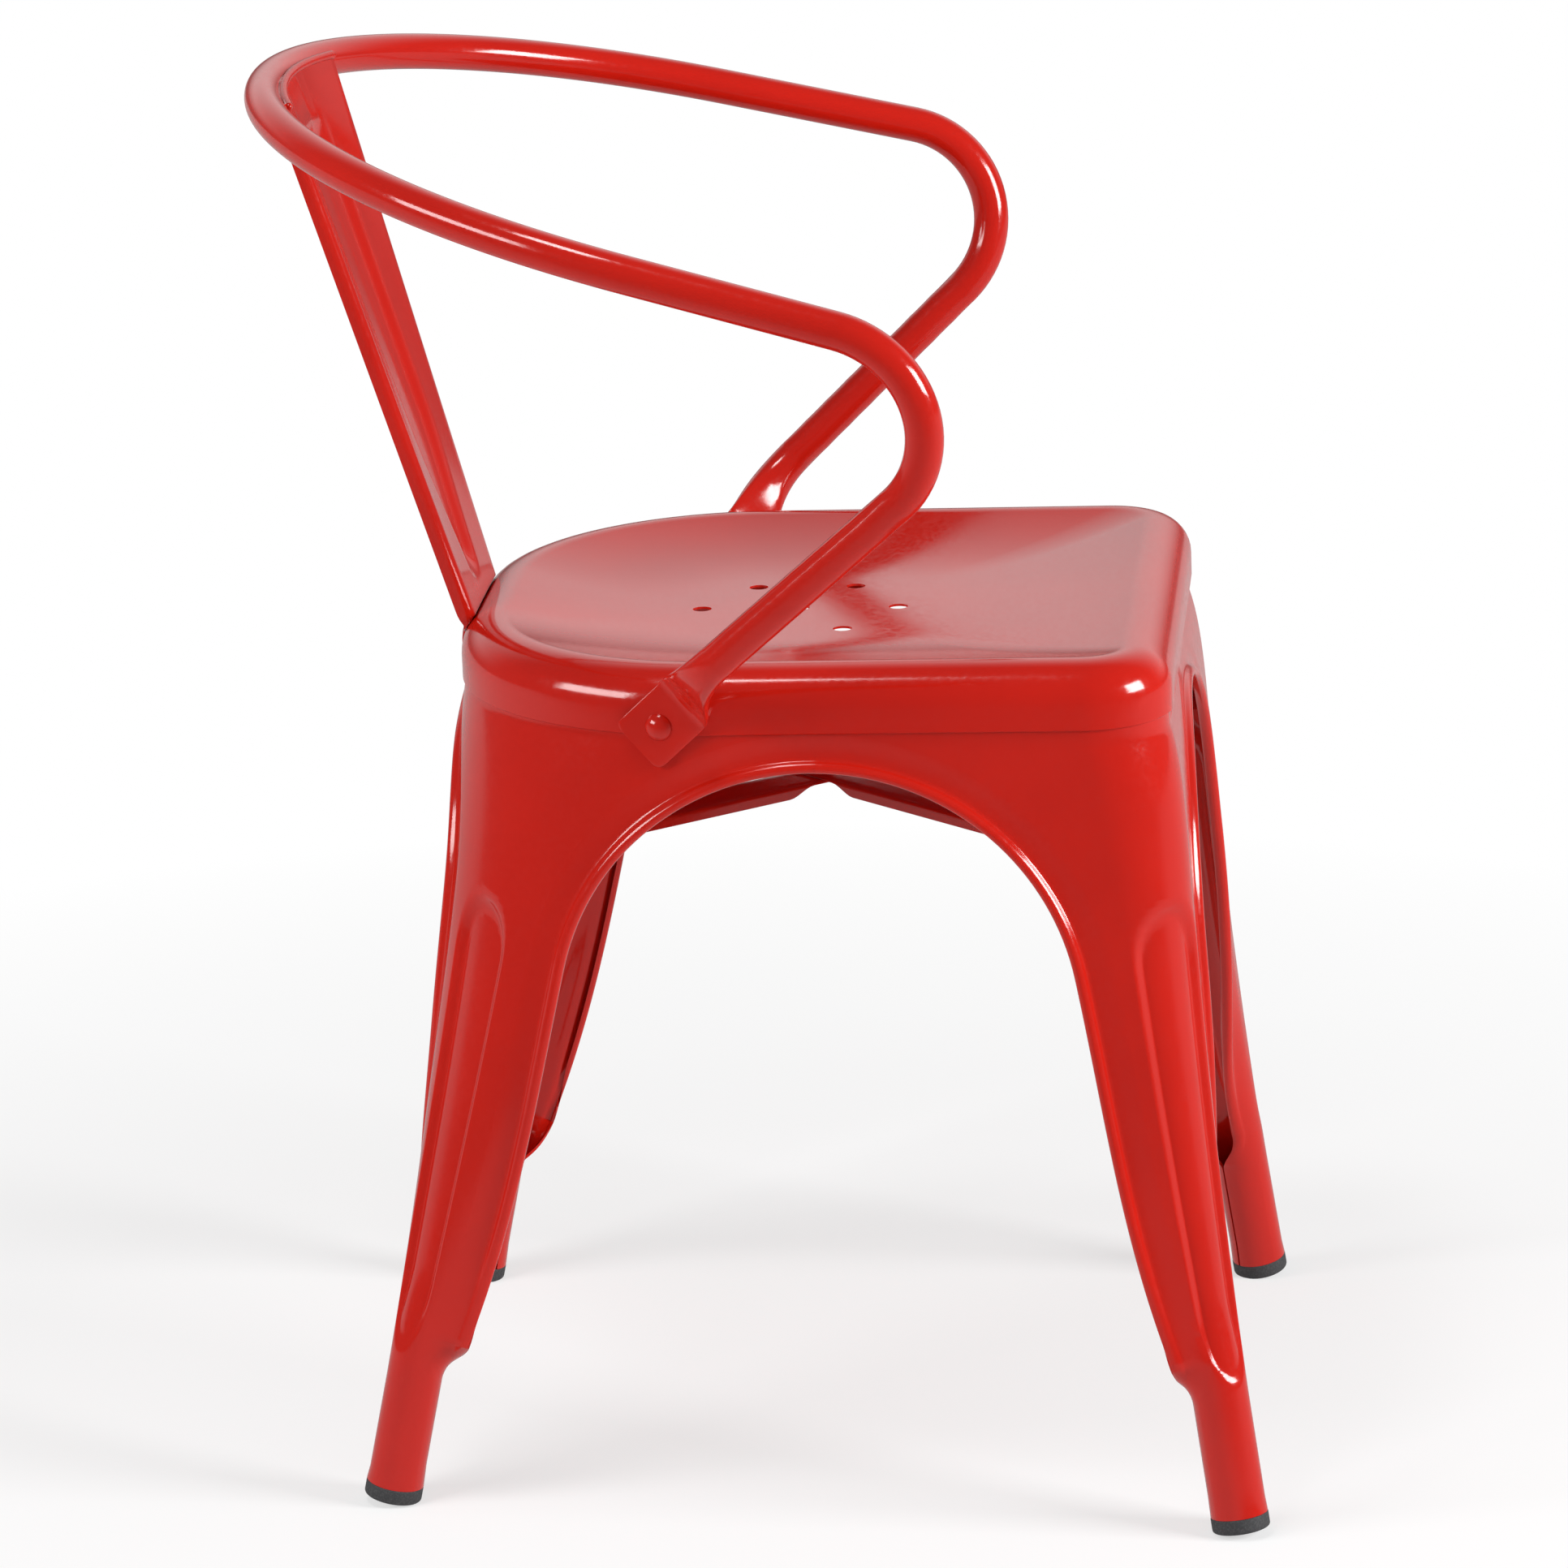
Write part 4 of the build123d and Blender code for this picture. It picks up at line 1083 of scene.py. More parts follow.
def arm_rivet_place():
    """Where the left arm's rivet goes through the skirt: a point, the way out and the way back."""
    seat, rail = settings("seat"), settings("rail")
    corner_x = seat.half_width - seat.rear_corner
    corner_y = seat.rear_y - seat.rear_corner
    turn = asin(max(rail.rivet_y - corner_y, 0) / seat.rear_corner)
    foot = seat.crest - seat.skirt - (rail.rivet_y - seat.centre_y) * tan(seat.tilt)
    point = Vector((corner_x + seat.rear_corner * cos(turn), rail.rivet_y, foot + rail.rivet_rise))
    return point, Vector((cos(turn), sin(turn), 0)), Vector((-sin(turn), cos(turn), 0))


def rail_rings():
    """Rings of the tube from the middle of the back to the end of the left arm's plate. Each has its
    centre, two directions across the tube, its half sizes along them and how square it is."""
    rail = settings("rail")
    back_steps, arm_steps, bend_steps, fall_steps = 56, 8, 30, 8
    start_turn = rail.splay
    points = []
    for step in range(back_steps):
        points.append(back_point(mix(pi / 2, start_turn, step / back_steps), rail.back_radius))
    arm_start = back_point(start_turn, rail.back_radius)
    corner_along = rail.corner_y / cos(rail.slope)
    arm_run = arc_centre_along() + rail.back_radius * sin(start_turn) - corner_along
    arm_corner = rail_plane_point(arm_start.x + arm_run * tan(rail.splay), corner_along)
    rivet, outward, backward = arm_rivet_place()
    side = settings("seat").half_width
    arm_end = Vector((side + rail.standoff, rail.end_y, rivet.z + rail.end_rise))
    before = (arm_start - arm_corner).normalized()
    after = (arm_end - arm_corner).normalized()
    half_angle = before.angle(after) / 2
    bend_start = arm_corner + before * (rail.bend / tan(half_angle))
    bend_middle = arm_corner + (before + after).normalized() * (rail.bend / sin(half_angle))
    points += [arm_start.lerp(bend_start, step / arm_steps) for step in range(arm_steps)]
    spoke = bend_start - bend_middle
    bend_turn = pi - 2 * half_angle
    for step in range(bend_steps):
        turn = bend_turn * step / bend_steps
        points.append(bend_middle + spoke * cos(turn) - before * (rail.bend * sin(turn)))
    bend_end = arm_corner + after * (rail.bend / tan(half_angle))
    crush_start = arm_end - after * rail.crush_lead
    points += [bend_end.lerp(crush_start, step / fall_steps) for step in range(fall_steps + 1)]

    rings = []
    upward = rail_normal()
    for number, point in enumerate(points):
        ahead = points[min(number + 1, len(points) - 1)] - points[max(number - 1, 0)]
        ahead = Vector((1, 0, 0)) if number == 0 else ahead.normalized()
        upward = (upward - ahead * upward.dot(ahead)).normalized()
        rings.append([point, upward, ahead.cross(upward), rail.radius, rail.radius, 0])

    plate_along = backward * cos(rail.plate_pitch) - Vector((0, 0, sin(rail.plate_pitch)))
    plate_across = backward * sin(rail.plate_pitch) + Vector((0, 0, cos(rail.plate_pitch)))
    twist_rings(rings[-fall_steps - 1:], plate_across)
    plate_middle = rivet + outward * (rail.plate_sheet / 2)
    blend = 2 * mm
    plate_start = plate_middle - plate_along * (rail.setback - blend)
    across_start, through_start = rings[-1][1], rings[-1][2]
    through_end = outward if through_start.dot(outward) > 0 else -outward
    if across_start.dot(plate_across) < 0:
        plate_across = -plate_across
    crush_steps, flat_haste, square_haste = 32, 1.05, 1.4
    tube_pull, plate_pull = 0.55, 0.2
    run = (plate_start - crush_start).length
    handles = (
        crush_start,
        crush_start + after * (tube_pull * run),
        plate_start - plate_along * (plate_pull * run),
        plate_start,
    )
    half_width, half_sheet = rail.plate_width / 2, rail.plate_sheet / 2
    for step in range(1, crush_steps + 1):
        share = step / crush_steps
        flat = ease(share)
        rings.append([
            bezier(handles, share),
            across_start.lerp(plate_across, flat).normalized(),
            through_start.lerp(through_end, flat).normalized(),
            mix(rail.radius, half_width, ease(share * flat_haste)),
            mix(rail.radius, half_sheet, ease(share * flat_haste)),
            ease(share * square_haste),
        ])

    def plate_ring(along, width, sheet):
        rings.append([plate_start + plate_along * along, plate_across, through_end, width, sheet, 1])

    plate_run = rail.plate_length - blend
    for share in (0.25, 0.5, 0.75):
        plate_ring(plate_run * share, half_width, half_sheet)
    for turn in (0, 30, 50, 68, 82, 90):
        short = rail.plate_corner * (1 - sin(radians(turn)))
        narrow = rail.plate_corner * (1 - cos(radians(turn)))
        plate_ring(plate_run - short, half_width - narrow, half_sheet)
    edge_swell = 0.2 * mm
    plate_ring(plate_run + edge_swell, half_width - rail.plate_corner, 0)
    return rings


def twist_rings(rings, across):
    """Turn a run of rings little by little, so that the last one's first direction is nearest to across."""
    _, first, second, _, _, _ = rings[-1]
    turn = Vector((across.dot(first), across.dot(second))).angle_signed(Vector((1, 0)))
    for number, ring in enumerate(rings):
        part = turn * number / (len(rings) - 1)
        _, first, second, _, _, _ = ring
        ring[1], ring[2] = first * cos(part) + second * sin(part), second * cos(part) - first * sin(part)


def build_rail():
    """The whole tube from plate to plate, mirrored about the middle of the back."""
    rings = rail_rings()
    columns = 48
    plate_power = 0.35

    def place(column, row):
        number = row - (len(rings) - 1)
        centre, first, second, half_first, half_second, square = rings[abs(number)]
        turn = 2 * pi * column / columns
        power = mix(1, plate_power, square)
        point = centre + first * half_first * copysign(abs(cos(turn)) ** power, cos(turn))
        point += second * half_second * copysign(abs(sin(turn)) ** power, sin(turn))
        return Vector((-point.x, point.y, point.z)) if number < 0 else point

    piece = shaped_grid("arm_rail_tube", columns, 2 * (len(rings) - 1), place)
    close_seams(piece, back_point(pi / 2, settings("rail").back_radius))
    settle(piece, "arm_rail", powder_coat())


# Rivets

def rivet_section(grip):
    """Half of a rivet's section, from the top of its dome to the end of its tail."""
    rivet = settings("rivet")
    dome_radius = (rivet.head**2 + rivet.dome**2) / (2 * rivet.dome)
    half_dome = asin(rivet.head / dome_radius)
    dome_steps = 8
    bite = 0.05 * mm
    profile = []
    for step in range(dome_steps + 1):
        turn = half_dome * step / dome_steps
        profile.append((dome_radius * sin(turn), rivet.dome - dome_radius * (1 - cos(turn))))
    profile += [(rivet.head, -bite), (rivet.shank, -bite), (rivet.shank, -grip)]
    tail_end = -grip - rivet.tail_height
    return profile + [(rivet.tail, -grip), (rivet.tail, tail_end), (0, tail_end)]


def build_arm_rivets():
    """A rivet on each side through the arm's plate, the skirt and the apron."""
    seat, leg, rail = settings("seat"), settings("leg"), settings("rail")
    point, outward, _ = arm_rivet_place()
    slack = 0.3 * mm
    grip = rail.plate_sheet + seat.sheet + leg.gap + leg.sheet + slack
    head = point + outward * rail.plate_sheet
    left = turned("arm_rivet_left_dome", rivet_section(grip), head, outward, 48)
    right = mirrored_copy(left, "arm_rivet_right_dome")
    settle(left, "arm_rivet_left", powder_coat())
    settle(right, "arm_rivet_right", powder_coat())


# Back splat

def rail_back_y(across):
    """Where the middle of the rail's back stands at a distance from the chair's middle."""
    rail = settings("rail")
    return (arc_centre_along() + sqrt(rail.back_radius**2 - across**2)) * cos(rail.slope)


def splat_frame():
    """Heights and places of the splat's foot and top."""
    seat, rail, splat = settings("seat"), settings("rail"), settings("splat")
    base_z = rear_crest_height() + splat.rise
    base_y = seat.rear_y - splat.setback
    top_z = back_point(pi / 2, rail.back_radius).z
    offset = rail.radius + splat.gap + splat.sheet
    top_y = rail.back_y - offset
    lean = (top_y - base_y) / (top_z - base_z)
    edge_drop = (rail.back_y - rail_back_y(splat.top)) * tan(rail.slope)
    edge_y = rail_back_y(splat.top) - offset + edge_drop * lean
    return base_z, base_y, top_z, top_y, edge_y


def splat_half_section(height):
    """Half of the splat's section at a height, from its middle to the rear edge of its flange."""
    rail, splat = settings("rail"), settings("splat")
    base_z, base_y, top_z, top_y, top_edge_y = splat_frame()
    blend = 2 * mm
    slope_steps, face_steps, flange_steps = 8, 8, 4
    rail_clearance, least_flange = 0.3 * mm, 0.2 * mm
    share = (height - base_z) / (top_z - base_z)
    half = mix(splat.base, splat.top, share)
    middle_y = mix(base_y, top_y, share)
    edge_y = mix(base_y - splat.bow, top_edge_y, share)
    rise = height - base_z
    floor, slope, depth = splat.trough
    floor *= half / splat.base * mix(splat.trough_point, 1, ease(rise / splat.trough_taper))
    trough_top = top_z - base_z - rail.radius - splat.trough_end
    foot_share = (rise - splat.trough_foot) / splat.trough_run
    top_share = (trough_top - rise) / splat.trough_run
    trough = depth * ease(foot_share) * ease(top_share)

    def face_y(across):
        return middle_y - (middle_y - edge_y) * (across / half) ** 2

    brink = floor + slope + blend
    fold_start = half - splat.fold
    points = [((floor - blend) * s / 4, middle_y + trough) for s in range(4)]
    for step in range(slope_steps + 1):
        across = mix(floor - blend, brink, step / slope_steps)
        points.append((across, face_y(across) + trough * (1 - ease(step / slope_steps))))
    for step in range(1, face_steps):
        across = mix(brink, fold_start, step / face_steps)
        points.append((across, face_y(across)))
    fold_y = face_y(fold_start) + splat.fold
    points += rounded((fold_start, fold_y), splat.fold, -90, 0, 6)
    flange_y = edge_y + splat.flange
    rail_z = rail_plane_point(0, 0).z + rail_back_y(half) * tan(rail.slope)
    below = abs(height - rail_z)
    clear = rail.radius + rail_clearance
    if below < clear:
        flange_y = min(flange_y, rail_back_y(half) - sqrt(clear**2 - below**2))
    end_share = min(max((base_z - splat.flange_end - height) / splat.flange_round, 0), 1)
    flange_y = mix(fold_y, max(flange_y, fold_y + least_flange), sqrt(1 - end_share**2))
    points += [(half, mix(fold_y, flange_y, s / flange_steps)) for s in range(1, flange_steps + 1)]
    return points


def roll_back(height, clearance):
    """Where a sheet that hugs the rear of the seat's rolled edge stands at a height."""
    seat = settings("seat")
    rise = height - rear_crest_height() + seat.roll
    reach = seat.roll + clearance
    if rise >= reach:
        return -1
    return seat.rear_y - seat.roll + sqrt(reach**2 - max(rise, 0) ** 2)


def build_splat():
    """The panel from the rail to the seat's roll, and the tab that goes on down the rear skirt."""
    seat, leg, rail, splat = settings("seat"), settings("leg"), settings("rail"), settings("splat")
    base_z, _, top_z, _, _ = splat_frame()
    rows = 120
    hug = 0.2 * mm
    rail_cover = 0.2
    foot = base_z - splat.flange_end - splat.flange_round
    sections = []
    for row in range(rows + 1):
        height = mix(foot, top_z + splat.top_rise, row / rows)
        sections.append((height, splat_half_section(height)))
    half = len(sections[0][1]) - 1

    def place(column, row):
        height, section = sections[row]
        across, along = section[abs(column - half)]
        along = max(along, roll_back(height, hug))
        top_here = rail_plane_point(0, 0).z + along * tan(rail.slope)
        top_here += (splat.top_rise + rail.radius * rail_cover) / cos(rail.slope)
        return Vector((across if column > half else -across, along, min(height, top_here)))

    piece = shaped_grid("back_splat_panel", 2 * half, rows, place)
    close_seams(piece, Vector((0, 1, 0.6)))
    thicken(piece, splat.sheet)

    arch_rim = 6.5 * mm
    tab_foot = seat.crest - seat.skirt - leg.apron + arch_rim + splat.tab_clearance
    tab_rows, tab_columns, end_rows = 24, 16, 2
    overlap, shoulder_inset = 1 * mm, 4 * mm
    narrow_haste, end_narrowing = 4, 0.08

    def tab_place(column, row):
        height = mix(foot + overlap, tab_foot, row / tab_rows)
        narrowing = ease(row / tab_rows * narrow_haste)
        width = mix(splat.base - shoulder_inset, splat.tab, narrowing)
        width *= 1 - end_narrowing * max(row - tab_rows + end_rows, 0) / end_rows
        return Vector((mix(-1, 1, column / tab_columns) * width, roll_back(height, hug), height))

    tab = shaped_grid("back_splat_tab", tab_columns, tab_rows, tab_place)
    close_seams(tab, Vector((0, 0, 0.4)))
    thicken(tab, -splat.sheet)
    activate(piece)
    tab.select_set(True)
    bpy.ops.object.join()
    settle(piece, "back_splat", powder_coat())


# Cross brace

def brace_frame():
    """Height and crossing of the strips, and each leg's corner with the strips' reach to it."""
    seat, leg, brace = settings("seat"), settings("leg"), settings("brace")
    height = seat.crest - seat.skirt - brace.drop
    legs = both_legs()
    corners = {name: legs[name].centre(height) for name in legs}
    front, rear = corners["front"], corners["rear"]
    share = front.x / (front.x + rear.x)
    crossing = front.lerp(Vector((-rear.x, rear.y)), share)
    reaches = {}
    for name in legs:
        room = legs[name].corner(height) - leg.sheet - brace.end_gap
        reaches[name] = (corners[name] - crossing).length + sqrt(room**2 - brace.half_width**2)
    return height, Vector((crossing.x, crossing.y, height)), corners, reaches


def strip_direction(side):
    """Level direction of a strip towards the front leg on a side, 1 for the sitter's left."""
    _, crossing, corners, _ = brace_frame()
    towards = Vector((side * corners["front"].x, corners["front"].y - crossing.y, 0))
    return towards.normalized()


def build_strip(name, side, level):
    """A channel strip whose folded sides taper away where it lies flat on its twin."""
    brace = settings("brace")
    _, crossing, _, reaches = brace_frame()
    towards = strip_direction(side)
    across = Vector((-towards.y, towards.x, 0))
    top = level + brace.sheet
    fold_limit = 0.9
    tapered = brace.flat + brace.taper
    stops = (-reaches["rear"], -tapered, -brace.flat, brace.flat, tapered, reaches["front"])
    stations = [stops[0]]
    for start, end, steps in zip(stops, stops[1:], (6, 6, 8, 6, 6)):
        stations += [mix(start, end, s / steps) for s in range(1, steps + 1)]

    def section(run):
        depth = brace.flange * ease((abs(run) - brace.flat) / brace.taper) + brace.sheet
        fold = min(brace.fold, depth * fold_limit)
        half = [(brace.half_width * s / 4, 0) for s in range(3)]
        half += [(brace.half_width - x, -z) for x, z in (
            (fold * (1 - sin(radians(t))), fold * (1 - cos(radians(t)))) for t in (0, 22, 45, 68, 90)
        )]
        half += [(brace.half_width, -mix(fold, depth, s / 4)) for s in range(1, 5)]
        return half

    half_count = len(section(0)) - 1

    def place(column, row):
        run = stations[row]
        sideways, rise = section(run)[abs(column - half_count)]
        if column < half_count:
            sideways = -sideways
        return crossing + towards * run + across * sideways + Vector((0, 0, top + rise))

    piece = shaped_grid(name, 2 * half_count, len(stations) - 1, place)
    close_seams(piece, crossing - Vector((0, 0, 0.2)))
    thicken(piece, brace.sheet)
    return piece


def build_brace():
    """Both strips and the rivet where they cross."""
    brace = settings("brace")
    lower = build_strip("brace_strip_lower_channel", 1, -brace.sheet)
    upper = build_strip("brace_strip_upper_channel", -1, 0)
    settle(lower, "brace_strip_lower", powder_coat())
    settle(upper, "brace_strip_upper", powder_coat())
    _, crossing, _, _ = brace_frame()
    head = crossing + Vector((0, 0, brace.sheet))
    rivet = turned("brace_rivet_dome", rivet_section(2 * brace.sheet), head, Vector((0, 0, 1)), 40)
    settle(rivet, "brace_rivet", powder_coat())


# Weld beads

def bead(name, points, radius):
    """A weld bead along a line of points, with the ripples that the weld pool leaves."""
    weld = settings("weld")
    columns, end_steps = 14, 4
    ripple_height = 0.08
    aslant = Vector((0.3, 0.2, 0.9))
    runs = [0]
    for before, after in zip(points, points[1:]):
        runs.append(runs[-1] + (after - before).length)

    def place(column, row):
        ahead = points[min(row + 1, len(points) - 1)] - points[max(row - 1, 0)]
        across = ahead.cross(aslant).normalized()
        around = across.cross(ahead).normalized()
        turn = 2 * pi * column / columns
        from_end = min(row, len(points) - 1 - row)
        thick = radius * sqrt(1 - (1 - min(from_end / end_steps, 1)) ** 2)
        thick *= 1 + ripple_height * sin(2 * pi * runs[row] / weld.ripple)
        return points[row] + (across * cos(turn) + around * sin(turn)) * thick

    piece = shaped_grid(name, columns, len(points) - 1, place)
    close_seams(piece, points[len(points) // 2])
    return piece


def straight(start, end, steps):
    """Points of a straight line."""
    return [start.lerp(end, step / steps) for step in range(steps + 1)]


def join_beads(beads, node):
    """Join beads of one kind into a piece that stands for their node."""
    bpy.ops.object.select_all(action="DESELECT")
    for part in beads:
        part.select_set(True)
    bpy.context.view_layer.objects.active = beads[0]
    bpy.ops.object.join()
    settle(beads[0], node, powder_coat(), smooth=60)


def build_welds():
    """The beads along the splat's top, beside its tab and at the brace's ends, each a little slimmer
    than its solid, so that its ripples stay inside."""
    seat, rail, splat, weld = settings("seat"), settings("rail"), settings("splat"), settings("weld")
    top_slim, tab_slim, brace_slim = 0.96, 0.95, 0.92
    radius = rail.back_radius - sqrt(rail.radius**2 - splat.top_rise**2) - weld.top + weld.top_bite
    half_turn = asin((splat.top - weld.top_end) / radius)
    lift = rail_normal() * (splat.top_rise + weld.top_rise)
    steps = 220
    turns = [pi / 2 + mix(-half_turn, half_turn, step / steps) for step in range(steps + 1)]
    line = [back_point(turn, radius) + lift for turn in turns]
    top = bead("splat_top_weld_bead", line, weld.top * top_slim)
    settle(top, "splat_top_weld", powder_coat(), smooth=60)

    foot = rear_crest_height() - seat.skirt
    tab_beads = []
    for side in (-1, 1):
        start = Vector((side * splat.tab, seat.rear_y, foot))
        line = straight(start, start + Vector((0, 0, weld.tab_length)), 24)
        tab_beads.append(bead("splat_tab_weld_beads", line, weld.tab * tab_slim))
    join_beads(tab_beads, "splat_tab_welds")

    leg, brace = settings("leg"), settings("brace")
    height, crossing, _, reaches = brace_frame()
    legs = both_legs()
    brace_beads = []
    for side, level in ((1, -brace.sheet), (-1, 0)):
        towards = strip_direction(side)
        across = Vector((-towards.y, towards.x, 0))
        for name, way in (("front", 1), ("rear", -1)):
            room = legs[name].corner(height) - leg.sheet - brace.end_gap
            sagitta = room - sqrt(room**2 - brace.half_width**2)
            size = sagitta + brace.end_gap + weld.brace_bite
            end = crossing + towards * (way * reaches[name]) + Vector((0, 0, level + brace.sheet))
            reach = across * (weld.brace_length / 2)
            line = straight(end - reach, end + reach, 30)
            brace_beads.append(bead("brace_end_weld_beads", line, size * brace_slim))
    join_beads(brace_beads, "brace_end_welds")


# Studio

# Soft boxes: name, place, width, height and power in watts
LAMPS = (
    ("top_softbox", (-0.7, 0.5, 2.6), 0.5, 0.5, 14),
    ("rear_softbox", (-1.6, 2.5, 1.6), 1.8, 0.8, 54),
    ("front_softbox", (-0.8, -2.9, 1.5), 1.3, 1.1, 104),
)


def add_lamp(name, place, width, height, power):
    """A soft box that faces the middle of the chair."""
    middle = Vector((0, 0, 0.4))
    lamp = bpy.data.lights.new(name, "AREA")
    lamp.shape = "RECTANGLE"
    lamp.size = width
    lamp.size_y = height
    lamp.energy = power
    holder = bpy.data.objects.new(name, lamp)
    bpy.context.scene.collection.objects.link(holder)
    holder.location = place
    holder.rotation_euler = (middle - Vector(place)).to_track_quat("-Z", "Y").to_euler()
    holder.visible_camera = False


def build_world():
    """A surround that is white where it is seen straight, dim as light, and in the gloss white
    beyond the chair and dim on the near side."""
    stage = settings("stage")
    world = bpy.data.worlds.new("studio_surround")
    bpy.context.scene.world = world
    world.use_nodes = True
    tree = world.node_tree
    tree.nodes.clear()
    beyond_from, beyond_full = 0.35, 0.95
    above_from, above_full = 0.02, 0.22
    rays = add_node(tree, "ShaderNodeLightPath")
    way = add_node(tree, "ShaderNodeTexCoord").outputs["Generated"]
    parts = add_node(tree, "ShaderNodeSeparateXYZ", None, {"Vector": way})
    beyond = add_node(
        tree,
        "ShaderNodeMapRange",
        {"interpolation_type": "SMOOTHSTEP", "From Min": beyond_from, "From Max": beyond_full},
        {"Value": parts.outputs["X"]},
    )
    above = add_node(
        tree,
        "ShaderNodeMapRange",
        {"From Min": above_from, "From Max": above_full},
        {"Value": parts.outputs["Z"]},
    )
    white = add_node(
        tree,
        "ShaderNodeMath",
        {"operation": "MULTIPLY"},
        {0: beyond.outputs["Result"], 1: above.outputs["Result"]},
    )
    mirrored = add_node(
        tree,
        "ShaderNodeMapRange",
        {"To Min": stage.near_gloss, "To Max": stage.far_gloss},
        {"Value": white.outputs["Value"]},
    )
    lit = add_node(
        tree,
        "ShaderNodeMix",
        {"data_type": "FLOAT", 2: stage.surround},
        {0: rays.outputs["Is Glossy Ray"], 3: mirrored.outputs["Result"]},
    )
    strength = add_node(
        tree,
        "ShaderNodeMix",
        {"data_type": "FLOAT", 3: 1.0},
        {0: rays.outputs["Is Camera Ray"], 2: lit.outputs[0]},
    )
    light = add_node(
        tree, "ShaderNodeBackground", {"Color": (1, 1, 1, 1)}, {"Strength": strength.outputs[0]}
    )
    add_node(tree, "ShaderNodeOutputWorld", None, {"Surface": light.outputs["Background"]})


def build_camera():
    """The camera at the photograph's angle."""
    stage = settings("stage")
    turn, rise, roll = stage.azimuth, stage.elevation, stage.roll
    back = Vector((-cos(turn) * cos(rise), -sin(turn) * cos(rise), sin(rise)))
    level = (-back).cross(Vector((0, 0, 1))).normalized()
    upright = level.cross(-back)
    right = level * cos(roll) + upright * sin(roll)
    up = upright * cos(roll) - level * sin(roll)
    data = bpy.data.cameras.new("camera")
    data.sensor_width = 36.0
    data.lens = stage.focal_pixels * data.sensor_width / stage.picture
    camera = bpy.data.objects.new("camera", data)
    bpy.context.scene.collection.objects.link(camera)
    place = Vector(stage.target) + back * stage.distance
    camera.matrix_world = Matrix.Translation(place) @ Matrix((right, up, back)).transposed().to_4x4()
    bpy.context.scene.camera = camera


def build_stage():
    """The floor, the surround, the soft boxes and the camera."""
    stage = settings("stage")
    bpy.ops.object.select_all(action="DESELECT")
    bpy.ops.mesh.primitive_plane_add(size=stage.floor)
    floor = bpy.context.object
    floor.name = "studio_floor"
    floor.data.materials.append(studio_floor())
    build_world()
    for lamp in LAMPS:
        add_lamp(*lamp)
    build_camera()
    bpy.context.scene.view_settings.view_transform = "Standard"


# Operators

class ARMCHAIR_OT_seat(bpy.types.Operator):
    """Press the seat pan: hem, skirt, rolled edge, dish and drain holes"""

    bl_idname = "armchair.seat"
    bl_label = "Seat Pan"

    def execute(self, context):
        build_seat()
        return {"FINISHED"}


class ARMCHAIR_OT_legs(bpy.types.Operator):
    """Press the four legs with their apron, rolled arch edges, corner panels and foot tubes"""

    bl_idname = "armchair.legs"
    bl_label = "Legs"

    def execute(self, context):
        build_legs()
        return {"FINISHED"}


class ARMCHAIR_OT_caps(bpy.types.Operator):
    """Mould the four rubber foot caps"""

    bl_idname = "armchair.caps"
    bl_label = "Foot Caps"

    def execute(self, context):
        build_caps()
        return {"FINISHED"}


class ARMCHAIR_OT_rail(bpy.types.Operator):
    """Bend the tube of the back and arms and crush its ends"""

    bl_idname = "armchair.rail"
    bl_label = "Arm Rail"

    def execute(self, context):
        build_rail()
        return {"FINISHED"}


class ARMCHAIR_OT_arm_rivets(bpy.types.Operator):
    """Set the rivets that hold the arms to the seat"""

    bl_idname = "armchair.arm_rivets"
    bl_label = "Arm Rivets"

    def execute(self, context):
        build_arm_rivets()
        return {"FINISHED"}


class ARMCHAIR_OT_splat(bpy.types.Operator):
    """Press the back splat with its flanges, trough and tab"""

    bl_idname = "armchair.splat"
    bl_label = "Back Splat"

    def execute(self, context):
        build_splat()
        return {"FINISHED"}


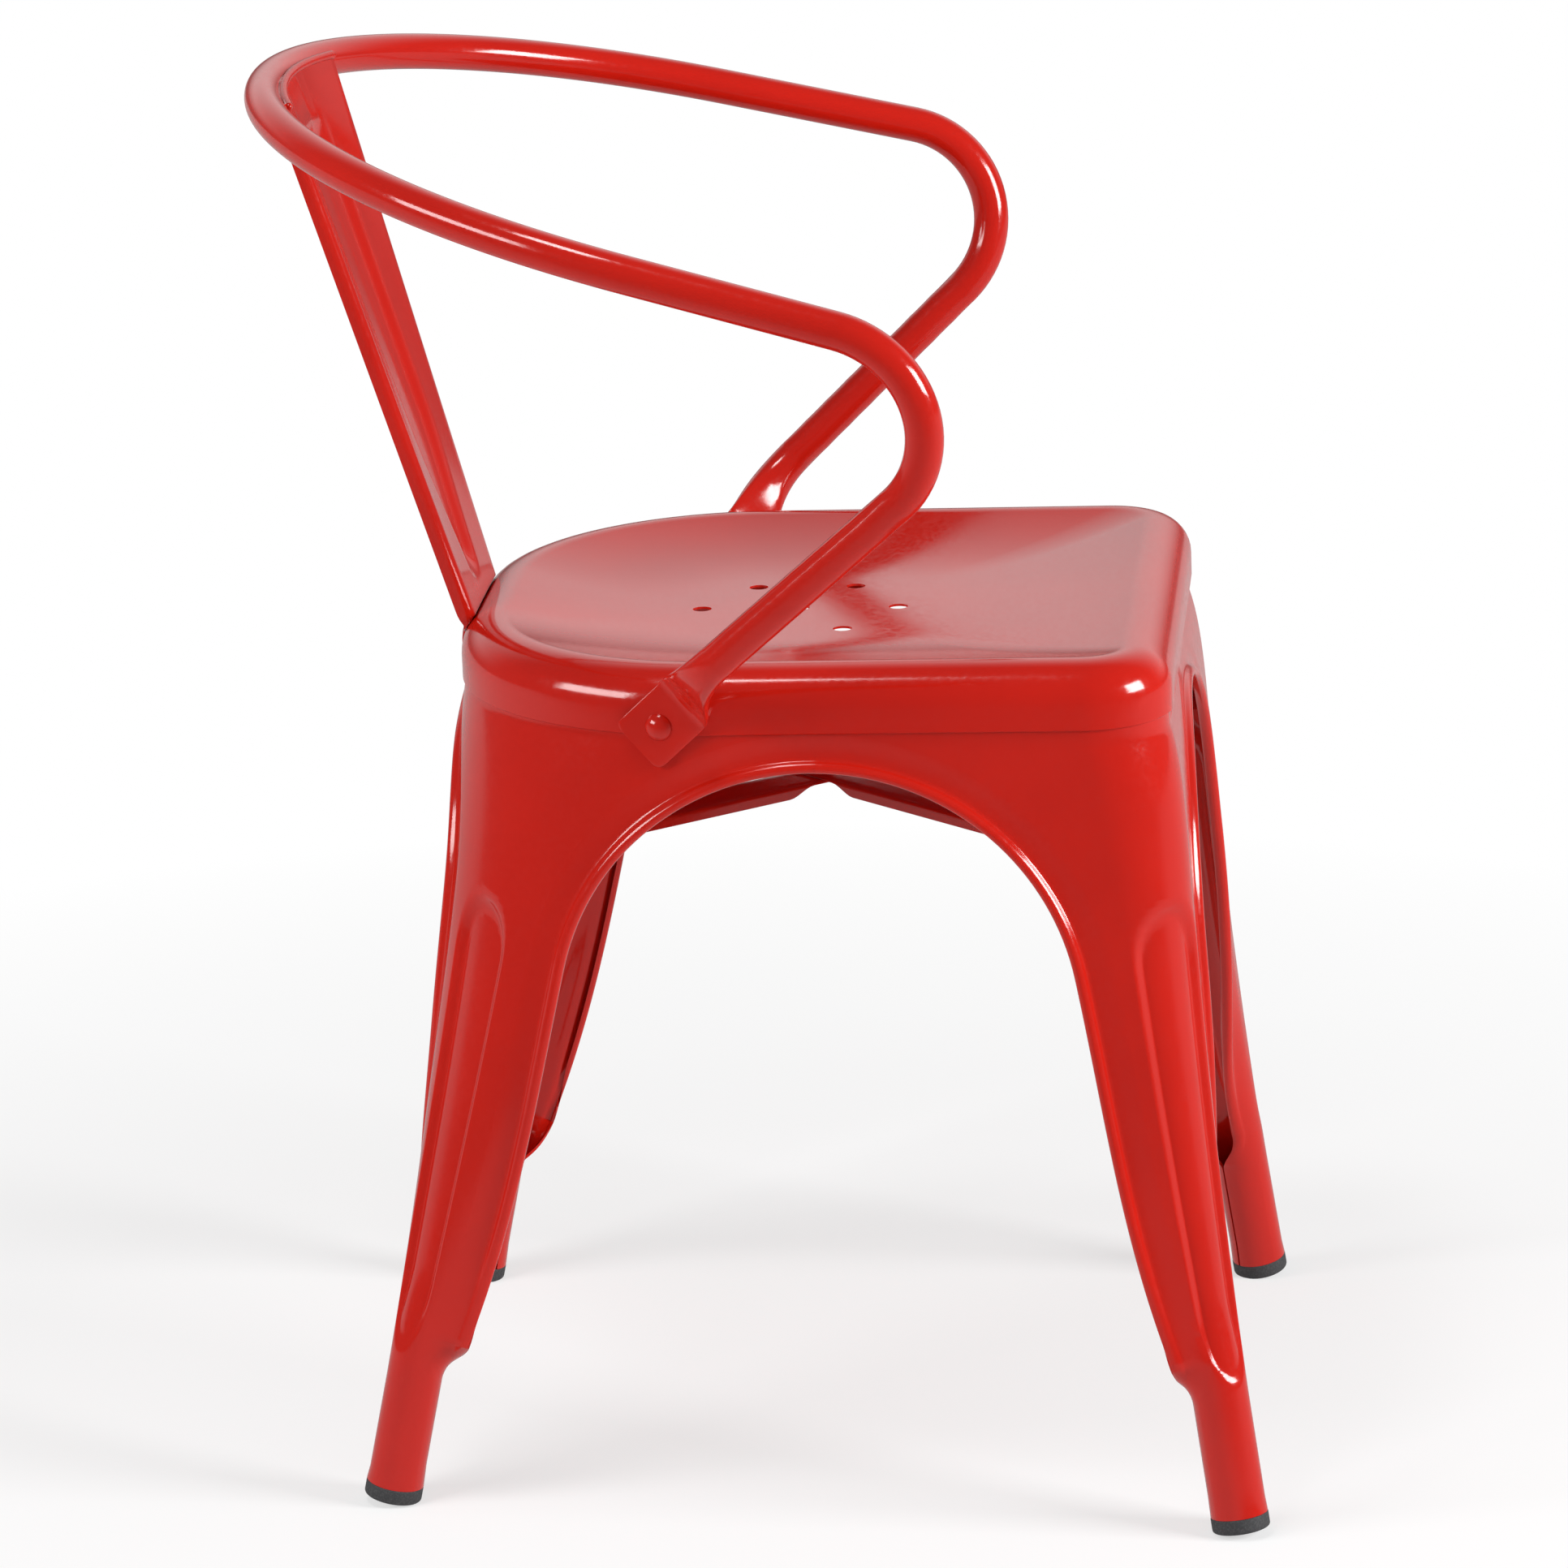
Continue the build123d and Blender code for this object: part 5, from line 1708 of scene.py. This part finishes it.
class ARMCHAIR_OT_brace(bpy.types.Operator):
    """Fold the cross brace under the seat and rivet its strips"""

    bl_idname = "armchair.brace"
    bl_label = "Cross Brace"

    def execute(self, context):
        build_brace()
        return {"FINISHED"}


class ARMCHAIR_OT_welds(bpy.types.Operator):
    """Run the weld beads"""

    bl_idname = "armchair.welds"
    bl_label = "Weld Beads"

    def execute(self, context):
        build_welds()
        return {"FINISHED"}


class ARMCHAIR_OT_stage(bpy.types.Operator):
    """Set up the floor, the light and the camera"""

    bl_idname = "armchair.stage"
    bl_label = "Studio"

    def execute(self, context):
        build_stage()
        return {"FINISHED"}


OPERATORS = (
    ARMCHAIR_OT_seat,
    ARMCHAIR_OT_legs,
    ARMCHAIR_OT_caps,
    ARMCHAIR_OT_rail,
    ARMCHAIR_OT_arm_rivets,
    ARMCHAIR_OT_splat,
    ARMCHAIR_OT_brace,
    ARMCHAIR_OT_welds,
    ARMCHAIR_OT_stage,
)


class ARMCHAIR_PT_panel(bpy.types.Panel):
    """The armchair's pieces in the order that they are made"""

    bl_idname = "ARMCHAIR_PT_panel"
    bl_label = "Armchair"
    bl_space_type = "VIEW_3D"
    bl_region_type = "UI"
    bl_category = "Armchair"

    def draw(self, context):
        for operator in OPERATORS:
            self.layout.operator(operator.bl_idname)


def register():
    for group in (*SETTINGS.values(), *OPERATORS, ARMCHAIR_PT_panel):
        bpy.utils.register_class(group)
    for name, group in SETTINGS.items():
        setattr(bpy.types.Scene, "armchair_" + name, bpy.props.PointerProperty(type=group))


def unregister():
    for name in SETTINGS:
        delattr(bpy.types.Scene, "armchair_" + name)
    for group in (ARMCHAIR_PT_panel, *OPERATORS, *SETTINGS.values()):
        bpy.utils.unregister_class(group)


def main():
    """Make every piece and the studio."""
    register()
    bpy.ops.armchair.seat()
    bpy.ops.armchair.legs()
    bpy.ops.armchair.caps()
    bpy.ops.armchair.rail()
    bpy.ops.armchair.arm_rivets()
    bpy.ops.armchair.splat()
    bpy.ops.armchair.brace()
    bpy.ops.armchair.welds()
    bpy.ops.armchair.stage()


if __name__ == "__main__":
    main()
